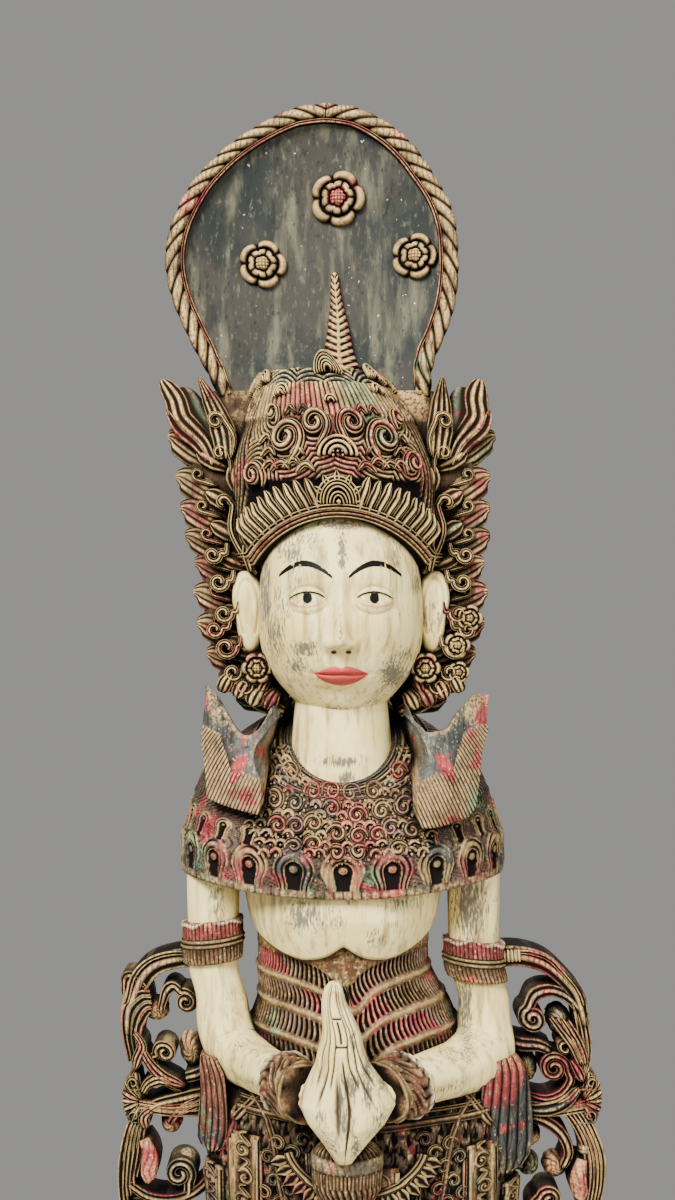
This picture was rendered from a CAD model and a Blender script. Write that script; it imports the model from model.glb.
import math

import bpy
import numpy as np
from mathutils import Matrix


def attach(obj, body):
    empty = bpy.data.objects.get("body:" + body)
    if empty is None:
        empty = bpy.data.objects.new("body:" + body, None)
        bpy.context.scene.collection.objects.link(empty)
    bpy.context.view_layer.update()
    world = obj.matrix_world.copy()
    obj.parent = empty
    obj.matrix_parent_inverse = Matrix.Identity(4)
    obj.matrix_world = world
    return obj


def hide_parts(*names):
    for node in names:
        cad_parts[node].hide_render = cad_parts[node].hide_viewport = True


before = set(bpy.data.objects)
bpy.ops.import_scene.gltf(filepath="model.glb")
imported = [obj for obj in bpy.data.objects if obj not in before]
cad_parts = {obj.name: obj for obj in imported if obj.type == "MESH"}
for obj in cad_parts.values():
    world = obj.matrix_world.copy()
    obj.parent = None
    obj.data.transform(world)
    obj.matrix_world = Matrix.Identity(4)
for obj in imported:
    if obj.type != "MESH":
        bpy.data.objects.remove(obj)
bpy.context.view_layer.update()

# The view. The figure was photographed level with its throat, from straight in front
# and from about a metre and a half, under broad soft studio light.

bpy.ops.object.select_all(action="DESELECT")
bpy.ops.object.camera_add(location=(-0.022, -1.6, 1.06), rotation=(math.pi / 2, 0, 0))
camera = bpy.context.object
camera.data.sensor_width = 36
camera.data.lens = 53.34
bpy.context.scene.camera = camera


def soft_lamp(name, place, aim, size, power):
    """A square studio softbox that stands at place and faces aim."""
    bpy.ops.object.light_add(type="AREA", location=place)
    lamp = bpy.context.object
    lamp.name = name
    lamp.data.size = size
    lamp.data.energy = power
    across = [a - p for a, p in zip(aim, place)]
    flat = math.hypot(across[0], across[1])
    lamp.rotation_euler = (math.atan2(flat, -across[2]), 0, math.atan2(-across[0], across[1]))


soft_lamp("key_lamp", (-0.9, -2.0, 2.6), (0, 0, 1.05), 1.0, 198)
soft_lamp("fill_lamp", (1.7, -2.0, 1.5), (0, 0, 0.9), 1.6, 50)
soft_lamp("back_lamp", (0.6, 2.2, 2.3), (0, 0, 0.9), 1.6, 40)

studio = bpy.data.worlds.new("studio")
studio.use_nodes = True
studio.node_tree.nodes["Background"].inputs["Color"].default_value = (0.42, 0.415, 0.4, 1)
studio.node_tree.nodes["Background"].inputs["Strength"].default_value = 0.745
bpy.context.scene.world = studio

# The floor: a flat painted board that catches the light and shadow of the studio. It is
# not part of the figure.

bpy.ops.mesh.primitive_plane_add(size=2.6, location=(0, 0, 0))
floor = bpy.context.object
floor.name = "studio_floor"
bpy.ops.object.mode_set(mode="EDIT")
bpy.ops.mesh.subdivide(number_cuts=6)
bpy.ops.object.mode_set(mode="OBJECT")
pale = bpy.data.materials.new("pale_floor")
pale.use_nodes = True
pale.node_tree.nodes["Principled BSDF"].inputs["Base Color"].default_value = (0.62, 0.61, 0.59, 1)
pale.node_tree.nodes["Principled BSDF"].inputs["Roughness"].default_value = 0.8
floor.data.materials.append(pale)

# The plinth: the figure stands on a low oval lotus, a row of hanging petals over a plain
# foot. It is painted wood, cut from the foot of the one log that makes the whole figure.
# The log leans a little to the left as it rises, and every cut below leans with it.

LEAN_AT = np.array([0, 640, 700, 740, 1060, 1200, 1290, 1368, 1425, 1508.0])
LEAN_BY = np.array([0, 0, -8, -17, -19, -27, -41, -45, -42, -32.0])
FINE = 1.0
PETALS, BEADS = 16, 48


def ease(low, high, x):
    """From 0 at low to 1 at high, slowly at both ends."""
    t = np.clip((x - low) / (high - low), 0, 1)
    return t * t * (3 - 2 * t)


def bell(x, middle, width):
    """1 at middle, and a smooth fall to nothing on both sides."""
    return np.exp(-((x - middle) / width) ** 2)


def lean(z):
    """How far the log has moved sideways at height z."""
    i = np.clip(np.searchsorted(LEAN_AT, z, side="right") - 1, 0, len(LEAN_AT) - 2)
    t = ease(LEAN_AT[i], LEAN_AT[i + 1], z)
    return LEAN_BY[i] + (LEAN_BY[i + 1] - LEAN_BY[i]) * t


def places(mesh):
    """Where the points of a mesh are."""
    at = np.empty(len(mesh.vertices) * 3)
    mesh.vertices.foreach_get("co", at)
    return at.reshape(-1, 3)


def brush(mesh, name, values):
    """Brushes a colour, or a value, on the points of a mesh under the given name."""
    kind, field = ("FLOAT", "value") if values.ndim == 1 else ("FLOAT_COLOR", "color")
    mesh.attributes.new(name, kind, "POINT").data.foreach_set(field, values.astype(np.float32).ravel())


blanks = {}


def blank(columns, rows):
    """A closed roll of wood of columns by rows squares, with where each point lies round it and
    along it, and its two end points with the rings of points next to them."""
    columns, rows = max(6, round(columns * FINE)), max(4, round(rows * FINE))
    if (columns, rows) not in blanks:
        bpy.ops.object.select_all(action="DESELECT")
        bpy.ops.mesh.primitive_grid_add(x_subdivisions=columns, y_subdivisions=rows, size=2)
        roll = bpy.context.object
        at = places(roll.data)
        turn, v = np.pi * at[:, 0], (at[:, 1] + 1) / 2
        girth = np.sin(np.pi * v)
        girth[(v < 1e-6) | (v > 1 - 1e-6)] = 0
        rolled = np.stack([girth * np.cos(turn), girth * np.sin(turn), 2 * v], 1)
        roll.data.vertices.foreach_set("co", rolled.ravel())
        bpy.ops.object.mode_set(mode="EDIT")
        bpy.ops.mesh.select_all(action="SELECT")
        bpy.ops.mesh.remove_doubles(threshold=1e-6)
        bpy.ops.object.mode_set(mode="OBJECT")
        at = places(roll.data)
        u = np.arctan2(at[:, 1], at[:, 0]) / (2 * np.pi) % 1
        u[u > 1 - 1e-5] = 0
        v = at[:, 2] / 2
        tips = ((0, 1 / rows), (1, 1 - 1 / rows))
        ends = [(np.abs(v - tip) < 1e-4, np.abs(v - ring) < 1e-3 / rows) for tip, ring in tips]
        blanks[(columns, rows)] = roll.data, u, v, ends
        bpy.data.objects.remove(roll)
    return blanks[(columns, rows)]


def carve(columns, rows, form):
    """A roll cut to form(u, v), which gives x, y, z in mm, the relief (0 in a groove, 1 on a
    ridge) and the paint. Every form is drawn upright and leans with the log."""
    mesh, u, v, ends = blank(columns, rows)
    x, y, z, relief, paint = form(u, v)
    at = np.stack([a + 0 * u for a in (x, y, z)], 1)
    for end, ring in ends:
        at[end] = at[ring].mean(0)
    at[:, 0] += lean(at[:, 2])
    mesh = mesh.copy()
    mesh.vertices.foreach_set("co", (at * 0.001).ravel())
    colour = np.ones((len(u), 4))
    colour[:, :3] = paint
    brush(mesh, "paint", colour)
    brush(mesh, "relief", relief + 0 * u)
    piece = bpy.data.objects.new("cut", mesh)
    bpy.context.scene.collection.objects.link(piece)
    return piece


def finish(name, cuts, paint, most):
    """Joins cuts into one piece of the figure, turns its faces outwards, thins it to at most so many
    triangles, which stay where the carving is sharp, and gives it its paint."""
    bpy.ops.object.select_all(action="DESELECT")
    for cut in cuts:
        cut.select_set(True)
    bpy.context.view_layer.objects.active = cuts[0]
    if len(cuts) > 1:
        bpy.ops.object.join()
    piece = bpy.context.view_layer.objects.active
    piece.name = name
    bpy.ops.object.mode_set(mode="EDIT")
    bpy.ops.mesh.select_all(action="SELECT")
    bpy.ops.mesh.normals_make_consistent(inside=False)
    bpy.ops.object.mode_set(mode="OBJECT")
    if 2 * len(piece.data.polygons) > most:
        thin = piece.modifiers.new("thin", "DECIMATE")
        thin.ratio = most / (2 * len(piece.data.polygons))
        bpy.ops.object.modifier_apply(modifier="thin")
    bpy.ops.object.shade_smooth()
    piece.data.materials.clear()
    piece.data.materials.append(paint)
    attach(piece, "root")
    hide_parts("figure")


def wall(rings, soft=0):
    """The oval wall through rings of (height, half width, half depth, middle). It gives x, y, z
    for an angle from the front, a height and how far the cut stands out."""
    height, width, depth, middle = np.array([tuple(r) + (0,) * (4 - len(r)) for r in rings], float).T
    levels = np.arange(height[0], height[-1] + 0.5, 0.5)
    width, depth, middle = (np.interp(levels, height, size) for size in (width, depth, middle))
    if soft:
        window = np.hanning(4 * soft + 1)
        window /= window.sum()
        width, depth, middle = (np.convolve(np.pad(size, 2 * soft, mode="edge"), window, "valid")
                                for size in (width, depth, middle))
    narrowing, shallowing = -np.gradient(width, levels), -np.gradient(depth, levels)

    def at(angle, z, out=0):
        lift = np.interp(z, levels, narrowing) * np.sin(angle) ** 2
        lift = lift + np.interp(z, levels, shallowing) * np.cos(angle) ** 2
        away = out / np.sqrt(1 + lift ** 2)
        x = np.sin(angle) * (np.interp(z, levels, width) + away)
        y = np.interp(z, levels, middle) - np.cos(angle) * (np.interp(z, levels, depth) + away)
        return x, y, z + away * lift

    return at


def notch(x, pitch, power=0.5):
    """Gouge cuts side by side: 0 at the bottom of each, 1 on the ridge between two."""
    return np.abs(np.sin(np.pi * x / pitch)) ** power


def tone(red, green, blue):
    """A paint colour as it looks, made linear for the mesh."""
    return np.array([(c / 255) ** 2.2 for c in (red, green, blue)])


def daub(where, tint, paint):
    """Dabs tint on where it says, and leaves the rest in paint."""
    return np.where(where[:, None], tint, paint)


class Layer:
    """A value or a colour at each point of the wood, worked out by the nodes of a paint.
    It takes +, - and *, and a | b is the stronger of two."""

    def __init__(self, socket):
        self.socket = socket
        self.tree = socket.id_data

    def work(self, what, other, clamp=True):
        return node(self.tree, "ShaderNodeMath", {0: self, 1: other}, operation=what, use_clamp=clamp)

    def __add__(self, other):
        return self.work("ADD", other)

    def __sub__(self, other):
        return self.work("SUBTRACT", other)

    def __rsub__(self, other):
        return node(self.tree, "ShaderNodeMath", {0: other, 1: self}, operation="SUBTRACT", use_clamp=True)

    def __mul__(self, other):
        return self.work("MULTIPLY", other)

    def __or__(self, other):
        return self.work("MAXIMUM", other, clamp=False)

    def between(self, low, high):
        """0 where the value is under low, 1 over high, smooth between."""
        ends = {"Value": self, "From Min": low, "From Max": high}
        return node(self.tree, "ShaderNodeMapRange", ends, "Result", interpolation_type="SMOOTHSTEP")

    def coat(self, amount, over, way="MIX"):
        """Lays another colour over this one by amount."""
        over = over if isinstance(over, Layer) else (*map(float, over), 1.0)
        layers = {0: amount, 6: self, 7: over}
        return node(self.tree, "ShaderNodeMix", layers, 2, data_type="RGBA", blend_type=way)


def node(tree, kind, inputs=(), out=0, **settings):
    """Adds a node with its settings, joins or sets its inputs, and gives one of its outputs."""
    made = tree.nodes.new(kind)
    for key, value in settings.items():
        setattr(made, key, value)
    for key, value in dict(inputs).items():
        if isinstance(value, Layer):
            tree.links.new(value.socket, made.inputs[key])
        else:
            made.inputs[key].default_value = value
    return Layer(made.outputs[out])


def brushed(tree, name, out="Fac"):
    """What was brushed on each cut under that name."""
    return node(tree, "ShaderNodeAttribute", out=out, attribute_name=name)


def speckle(tree, scale, detail=4, stretch=(1, 1, 1), shift=0.0):
    """Noise of the given scale per metre, stretched along the grain."""
    place = node(tree, "ShaderNodeTexCoord", out="Object")
    place = node(tree, "ShaderNodeMapping", {0: place, "Location": (shift, shift, shift), "Scale": stretch})
    noise = {"Vector": place, "Scale": scale, "Detail": detail, "Roughness": 0.6}
    return node(tree, "ShaderNodeTexNoise", noise, "Fac")


def open_pot(name, reach):
    """A new paint, with the colour and relief of each cut and how open each point lies within reach."""
    material = bpy.data.materials.new(name)
    material.use_nodes = True
    tree = material.node_tree
    near = node(tree, "ShaderNodeAmbientOcclusion", {"Distance": reach}, "AO", samples=6)
    return material, tree, brushed(tree, "paint", "Color"), brushed(tree, "relief"), near


def dry(material, colour, rough, shine, lift, strength, depth):
    """Ends a paint: its colour, roughness and shine, and how far its grain and cuts stand up."""
    tree = material.node_tree
    skin = tree.nodes["Principled BSDF"]
    bump = node(tree, "ShaderNodeBump", {"Height": lift, "Strength": strength, "Distance": depth})
    for name, layer in (("Base Color", colour), ("Roughness", rough), ("Normal", bump)):
        tree.links.new(layer.socket, skin.inputs[name])
    skin.inputs["Specular IOR Level"].default_value = shine
    return material


def old_paint(name, pink=0.5, green=0.5, grime=1.0, chalk=0.5, recess=(18, 14, 11), gouge=0.3, rub=0.7):
    """Old paint over carved wood: patches of pink and green, grime in the cuts, rubbed and chalky ridges."""
    material, tree, paint, relief, near = open_pot(name, 0.018)
    edge = node(tree, "ShaderNodeNewGeometry", out="Pointiness")
    fine = speckle(tree, 380, 5)
    mid = speckle(tree, 70, 4, shift=3.0)
    grain = speckle(tree, 260, 4, (1, 1, 0.12), shift=1.0)
    rosy = speckle(tree, 26, 3, shift=9.0) + fine * 0.3
    mossy = speckle(tree, 24, 3, shift=17.0) + fine * 0.3
    colour = paint.coat(rosy.between(0.75 - 0.1 * pink, 0.84 - 0.1 * pink), PINK)
    colour = colour.coat(mossy.between(0.79 - 0.1 * green, 0.88 - 0.1 * green), GREEN)
    colour = colour.coat(mid.between(0.42, 0.72), colour.coat(1.0, (0.45, 0.42, 0.4), "MULTIPLY"))
    rubbed = edge.between(0.504, 0.545) * fine.between(0.36, 0.56)
    rubbed = rubbed * speckle(tree, 45, 3, shift=5.0).between(0.36, 0.54)
    colour = colour.coat(rubbed * rub, tone(238, 198, 128))
    white = fine.between(0.64 - 0.08 * chalk, 0.7 - 0.08 * chalk) * relief.between(0.4, 0.9)
    colour = colour.coat(white * 0.6, tone(222, 206, 172))
    place = node(tree, "ShaderNodeTexCoord", out="Object")
    waves = {"Vector": place, "Scale": 64, "Distortion": 11, "Detail": 2, "Detail Scale": 0.55}
    cuts = node(tree, "ShaderNodeTexWave", waves, "Fac").between(0.36, 0.04)
    cuts = cuts * speckle(tree, 40, 3, shift=29.0).between(0.34, 0.5) * gouge
    deep = relief.between(0.84, 0.3) * grime | near.between(0.9, 0.46) * grime | cuts
    deep = deep | speckle(tree, 34, 4, shift=23.0).between(0.55, 0.72) * (0.45 * grime)
    deep = deep | edge.between(0.495, 0.44) * (0.85 * grime)
    colour = colour.coat(deep, tone(*recess))
    rough = fine * 0.3 + 0.5 - rubbed * (rub - deep) * 0.3 | deep * 0.95
    lift = (fine * 0.6 + grain * 0.5).work("SUBTRACT", cuts, clamp=False)
    return dry(material, colour, rough, 0.1, lift, 0.6, 0.0014)


OCHRE = tone(178, 148, 98)
PINK = tone(174, 76, 76)
GREEN = tone(112, 140, 104)
carved_paint = old_paint("carved_paint", 0.5, 0.3)

plinth = wall([(0, 193.8, 173.8), (18, 193.8, 173.8), (21, 192, 172), (26, 181, 161), (30, 184, 164),
               (48, 186, 166), (66, 168, 150), (73, 156, 138), (76, 152, 135), (82, 153, 136),
               (88, 148, 132)])


def plinth_form(u, v):
    angle = 2 * np.pi * (u - 0.5)
    z = np.maximum(89.5 * v - 1.5, 0)
    side = (angle * PETALS / (2 * np.pi) + 0.5) % 1 - 0.5
    hang = np.clip((76 - z) / 50, 0, 1)
    half = 0.5 * np.cos(np.pi / 2 * hang ** 2.6) ** 0.5 + 1e-3
    reach = np.abs(side) / half
    petal = ease(1.0, 0.86, reach) * ease(26, 29, z) * ease(77, 75, z)
    rim = bell(reach, 0.8, 0.1) + 0.7 * bell(side, 0, 0.04)
    bead = ease(77, 78, z) * ease(87, 85, z)
    beads = notch(angle * BEADS, np.pi)
    out = petal * (1 + 6 * np.sin(np.pi * hang) + 1.6 * rim) + bead * 2.4 * beads
    relief = np.where(z < 25, 0.8, np.where(bead > 0.5, beads, petal * (0.35 + 0.6 * rim)))
    paint = daub(petal * (rim < 0.5) > 0.5, PINK * 0.8, OCHRE * 0.85)
    return *plinth(angle, z, out - 8 * ease(25, 27, z)), np.clip(relief, 0, 1), paint


finish("lotus_plinth", [carve(480, 74, plinth_form)], carved_paint, 24000)

# The skirt: a long wrapped cloth, carved in the log as upright folds that widen to the
# feet, with rows of small scallops above the knees, and painted a worn brown and grey.

UMBER = tone(98, 76, 54)
MAUVE = tone(140, 110, 98)
SLATE = tone(88, 90, 84)
SKIRT_FOOT, SKIRT_TALL, SKIRT_ROUND, KNEES = 72, 594, 120, (560, 470)
skirt_wall = wall([(70, 122, 110), (80, 120, 108), (150, 112, 103), (210, 108, 100), (340, 112, 102),
                   (460, 128, 108), (575, 138, 112, -2), (615, 130, 108, -2), (650, 112, 92), (668, 96, 84)])


def front(u, crowd=0.35):
    """The angle round the log, 0 in front, with the cuts crowded towards the front."""
    return 2 * np.pi * (u - 0.5) - crowd * np.sin(2 * np.pi * (u - 0.5))


def scale_rows(across, along, wide, tall):
    """Rows of little overlapping scallops, each row shifted by half: the carver's filling for cloth."""
    row = np.floor(along / tall)
    a = ((across / wide + 0.5 * (row % 2) + 0.5) % 1 - 0.5) * 2
    b = along / tall - row
    reach = np.hypot(a, (1 - b) * 0.95)
    ring = 0.5 + 0.5 * np.cos(2 * np.pi * reach * 2.2)
    return ease(1.05, 0.9, reach) * (0.35 + 0.65 * ring)


def skirt_form(u, v):
    angle = front(u, 0.25)
    z = SKIRT_FOOT + SKIRT_TALL * v
    across = angle * SKIRT_ROUND
    low = ease(*KNEES, z)
    folds = notch(across + 5 * np.sin(z / 70 + angle * 2), 18, 0.7)
    strips = notch(across, 23, 0.35)
    rows = scale_rows(across, z + 0.25 * np.abs(across), 11.5, 12)
    hem = ease(110, 104, z) * (0.5 + 0.5 * np.cos((z - 92) / 2.6))
    out = low * (5 * folds - 3) + (1 - low) * (1.6 * strips + 2.4 * rows - 2) + 3 * hem
    scallops = np.clip(0.75 * rows + 0.15, 0, 1) * (0.3 + 0.7 * strips)
    relief = low * (0.15 + 0.75 * folds) + (1 - low) * scallops
    stripe = (np.sin(z / 9) > 0.55) & (low > 0.4)
    paint = daub(stripe, MAUVE * 0.8, UMBER * 0.9 + SLATE * 0.25)
    return *skirt_wall(angle, z, out), np.clip(relief, 0, 1), paint


finish("skirt", [carve(440, 210, skirt_form)], carved_paint, 48000)

# The bodice: a tight breast cloth, carved in the log and painted brown and dull red. Rows
# of short curved gouge cuts run round it under a plain band that rises to a point.

BODICE_FOOT, BODICE_TALL, BODICE_ROUND, BAND_FOOT, ROW_TALL = 638, 136, 84, 740, 24
bodice_wall = wall([(636, 108, 92), (664, 101, 84), (690, 92, 77), (718, 81, 71), (741, 76.5, 69),
                    (762, 76, 70), (776, 77, 72)])


def bodice_form(u, v):
    angle = front(u)
    z = BODICE_FOOT + BODICE_TALL * v
    across = angle * BODICE_ROUND
    far = np.abs(across)
    sink = 0.2 * np.minimum(far, 60) * ease(0, 12, far) + 0.06 * np.maximum(far - 60, 0)
    along = (BAND_FOOT - 12 * bell(across, 0, 18) + sink - z) / ROW_TALL
    row, place = np.floor(along), along % 1
    row_of_cuts = ease(0.02, 0.1, place) * ease(0.74, 0.66, place) * ease(-0.05, 0.02, along)
    bend = 0.55 * np.sign(across) * np.cos(np.pi * (place - 0.36) / 0.9)
    cuts = 0.5 + 0.5 * np.cos(2 * np.pi * (across / 4.8 + bend + 0.37 * row))
    cuts = 1 - np.clip(1.9 * cuts - 0.5, 0, 1) ** 0.8
    strip = bell(place, 0.86, 0.065) * ease(0, 0.1, along)
    out = -2.8 * row_of_cuts * (1 - cuts) + 1.6 * strip + 0.8 * ease(-0.06, -0.02, -along)
    relief = np.clip(0.9 - 0.9 * row_of_cuts * (1 - cuts) + 0.1 * strip, 0, 1)
    patch = np.sin(across / 17 + row * 2.4) + np.sin(z / 11 + across / 31)
    paint = UMBER * 1.05 + 0 * across[:, None]
    paint = daub((row_of_cuts > 0.3) & (patch > -0.2), MAUVE * 0.5 + UMBER * 0.6, paint)
    paint = daub((row_of_cuts > 0.3) & (patch > 0.8), PINK * 0.85, paint)
    paint = daub(strip > 0.3, OCHRE * 0.75, paint)
    paint = daub(along < 0, tone(92, 62, 42), paint)
    return *bodice_wall(angle, z, out), relief, paint


bodice_paint = old_paint("bodice_paint", 0.2, 0.3, gouge=0.15, rub=0.35)
finish("bodice", [carve(640, 112, bodice_form)], bodice_paint, 44000)

# The breast: smooth carved wood under cream paint, which stands a little proud of the
# bodice and has a lower edge like the top of a heart. The face and arms are painted alike.


def flesh_paint(name):
    """Thick cream paint, rubbed through to grey and brown along the grain, with soot on it."""
    material, tree, paint, relief, near = open_pot(name, 0.02)
    edge = node(tree, "ShaderNodeNewGeometry", out="Pointiness")
    grain = speckle(tree, 150, 6, (1, 1, 0.13))
    cross = speckle(tree, 330, 5, (1, 1, 0.5), shift=5.0)
    cloud = speckle(tree, 22, 3, shift=2.0)
    spots = speckle(tree, 520, 3, shift=8.0)
    colour = paint.coat(cloud.between(0.4, 0.7), paint.coat(1.0, (0.9, 0.82, 0.66), "MULTIPLY"))
    colour = colour.coat(grain.between(0.48, 0.7) * 0.7, tone(166, 136, 88))
    drips = speckle(tree, 74, 5, (1, 1, 0.07), shift=17.0).between(0.53, 0.7)
    colour = colour.coat(drips * 0.62, tone(128, 98, 60))
    soot = brushed(tree, "soot") | speckle(tree, 19, 2, shift=31.0).between(0.56, 0.66) * 0.4
    pencil = speckle(tree, 560, 5, (1, 1, 0.24), shift=5.0)
    smudge = pencil.work("ADD", soot * 0.34, clamp=False).between(0.58, 0.78) * soot.between(0.02, 0.3)
    colour = colour.coat(smudge * 0.85, tone(66, 70, 74))
    dark = spots.between(0.66, 0.72) * grain.between(0.45, 0.6)
    colour = colour.coat(dark * 0.7, tone(70, 56, 42))
    deep = relief.between(0.72, 0.12) | near.between(0.62, 0.12) * 0.75 | edge.between(0.49, 0.45) * 0.5
    colour = colour.coat(deep, tone(58, 46, 36))
    lift = grain * 0.6 + cross * 0.35 - smudge * 0.25
    return dry(material, colour, cross * 0.3 + 0.45, 0.16, lift, 0.35, 0.001)


flesh = flesh_paint("flesh_paint")
CREAM = tone(252, 232, 158)

CHEST_EDGE, CHEST_TOP = 749, 858
chest_wall = wall([(738, 72, 67, -2), (752, 74, 71, -4), (768, 78, 75, -5), (785, 83, 79, -5),
                   (800, 86, 79, -4), (830, 88, 76, -4), (860, 87, 70, -4)])


def smear(piece, spots):
    """Greys the front of a piece with soot, from (x, z, half width, half height, how dark)."""
    x, y, z = 1000 * places(piece.data).T
    soot = np.zeros(len(x))
    for middle, height, wide, tall, dark in spots:
        soot = np.maximum(soot, dark * bell(x, middle, wide) * bell(z, height, tall))
    brush(piece.data, "soot", soot * (y < 0))


def chest_form(u, v):
    angle = front(u, 0.3)
    across = np.abs(angle * BODICE_ROUND)
    edge = CHEST_EDGE + 13 * np.exp(-(across / 15) ** 1.4) + 20 * np.clip((across - 42) / 75, 0, 1.03) ** 1.3
    z = edge + (CHEST_TOP - edge) * v ** 1.1
    lobe = 3.2 * bell(across, 40, 30) * bell(z, 778, 26)
    out = 1.8 + lobe - 2.3 * (1 - ease(0, 4, z - edge))
    relief = 0.35 + 0.65 * ease(0, 3, z - edge)
    return *chest_wall(angle, z, out), relief, CREAM


breast = carve(260, 90, chest_form)
smear(breast, [(-52, 790, 16, 14, 0.9), (10, 772, 12, 10, 0.5), (34, 800, 22, 8, 0.6)])
finish("breast", [breast], flesh, 9000)

# The arms: smooth round limbs under the same cream paint, cut free of the body at the
# elbows. They hang from under the collar and bend, so that the hands meet in front.


LIMB_STEPS, ARM_THICK = 240, 22


def trace(points, count):
    """count evenly spaced points on the smooth line through points."""
    p = np.array(points, float)
    p = np.vstack([2 * p[0] - p[1], p, 2 * p[-1] - p[-2]])
    t = np.linspace(0, len(p) - 3, 16 * len(p))
    i = np.minimum(t.astype(int), len(p) - 4)
    f = (t - i)[:, None]
    a, b, c, d = p[i], p[i + 1], p[i + 2], p[i + 3]
    bend, twist = 2 * a - 5 * b + 4 * c - d, 3 * b - a - 3 * c + d
    line = 0.5 * (2 * b + (c - a) * f + bend * f ** 2 + twist * f ** 3)
    run = np.r_[0, np.cumsum(np.linalg.norm(np.diff(line, axis=0), axis=1))]
    at = np.linspace(0, run[-1], count)
    return np.stack([np.interp(at, run, line[:, k]) for k in range(line.shape[1])], 1)


def limb(points, girth, u, v, up=(0, 1, 0)):
    """A round limb along the line through points: girth(t) gives its radius. Returns x, y, z."""
    line = trace(points, LIMB_STEPS)
    t = np.linspace(0, 1, LIMB_STEPS)
    x, y, z = (np.interp(v, t, line[:, k]) for k in range(3))
    ahead = np.gradient(line, axis=0)
    ahead /= np.linalg.norm(ahead, axis=1)[:, None]
    side = np.cross(ahead, up)
    side /= np.linalg.norm(side, axis=1)[:, None]
    rise = np.cross(side, ahead)
    turn = 2 * np.pi * u
    radius = girth(v, turn)
    out = [np.interp(v, t, side[:, k]) * np.cos(turn) + np.interp(v, t, rise[:, k]) * np.sin(turn)
           for k in range(3)]
    return x + radius * out[0], y + radius * out[1], z + radius * out[2]


def arm_line(side):
    wrist = 47 - 12 * side
    return [(side * 116, -14, 840), (side * 116, -14, 800), (side * 116, -14, 754), (side * 116.5, -15, 700),
            (side * 111, -24, 665), (side * 92, -52, 656), (side * (69 - 6 * side), -84, 655),
            (side * wrist, -114, 654), (side * (wrist - 22), -140, 651)]


def arm_girth(t, turn):
    facets = 0.35 * np.cos(5 * turn + 3 * t) + 0.3 * np.cos(9 * turn - 5 * t)
    muscle = 4.5 * bell(t, 0.56, 0.1) + 1.2 * bell(t, 0.1, 0.12)
    return ARM_THICK + muscle - 2.5 * ease(0.68, 0.9, t) - 8 * ease(0.86, 0.97, t) + facets


arms = []
for side in (-1, 1):
    arms.append(carve(72, 220, lambda u, v: (*limb(arm_line(side), arm_girth, u, v), 0.9, CREAM)))
smear(arms[0], [(-128, 800, 8, 40, 0.5), (-112, 705, 14, 14, 0.35), (-95, 652, 20, 5, 0.5)])
smear(arms[1], [(94, 790, 16, 36, 0.9), (90, 700, 7, 40, 0.8), (105, 730, 8, 14, 0.6), (66, 650, 24, 5, 0.6)])
finish("arms", arms, flesh, 13000)

# The arm rings: painted bands cut in relief on the upper arms, with flutes above and below
# a double cord, and a lip where the cream paint is broken off.


def ring_form(middle, half, height, radius, slope, u, v):
    """A fluted band with two cords in its middle, round an upright limb."""
    turn = 2 * np.pi * u
    along = (2 * v - 1) * 1.12
    p = np.clip(along, -1, 1)
    flutes = notch(turn + 0.05 * p, 2 * np.pi / 42, 0.6)
    cords = 0.5 + 0.5 * np.cos(2 * np.pi * (p / 0.22 - 0.5))
    middle_band = ease(0.27, 0.22, np.abs(p))
    torn = 0.1 * np.sin(3 * turn) + 0.07 * np.sin(7 * turn + 1)
    lip = bell(p - 0.92, torn, 0.07)
    bands = middle_band * (2 + 1.3 * cords) + (1 - middle_band) * 1.7 * flutes
    out = radius + 3.2 + bands + 1.5 * lip
    out = np.where(np.abs(along) > 1, radius - 4, out - 1.2 * np.abs(p) ** 6)
    z = height + half * p - slope * out * np.cos(turn) * np.sign(middle)
    relief = middle_band * (0.25 + 0.75 * cords) + (1 - middle_band) * (0.15 + 0.8 * flutes)
    paint = daub(middle_band > 0.5, OCHRE * 0.45, daub(p > 0, PINK * 0.5 + UMBER * 0.3, UMBER * 1.1))
    paint = daub(lip > 0.5, tone(222, 208, 180), paint)
    return middle + out * np.cos(turn), -14.5 + out * np.sin(turn), z, relief, paint


rings = [carve(240, 44, lambda u, v: ring_form(-116, 19, 758, 22.3, 0.1, u, v)),
         carve(240, 44, lambda u, v: ring_form(116.5, 18, 741, 22.3, 0.1, u, v))]
finish("arm_rings", rings, old_paint("ring_paint", 0.3, 0.0, gouge=0.2, rub=0.35), 16000)

# The hands and the cuffs: the palms are pressed together and seen on their edges, cream
# painted wood with long grooves for the fingers. The wrists end in painted cuffs of leaves.

HANDS_FOOT, HANDS_TALL = 601, 147.5
hands_wall = wall([(600, 6, 8, -150), (606, 10, 12, -149), (620, 21, 20, -147), (633, 32, 26, -146),
                   (648, 40, 27, -144), (664, 33, 27, -145), (682, 22, 26, -146), (700, 17, 24, -147),
                   (726, 11.5, 20, -147), (743, 7.5, 14, -148), (749, 3, 6, -148)])


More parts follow.
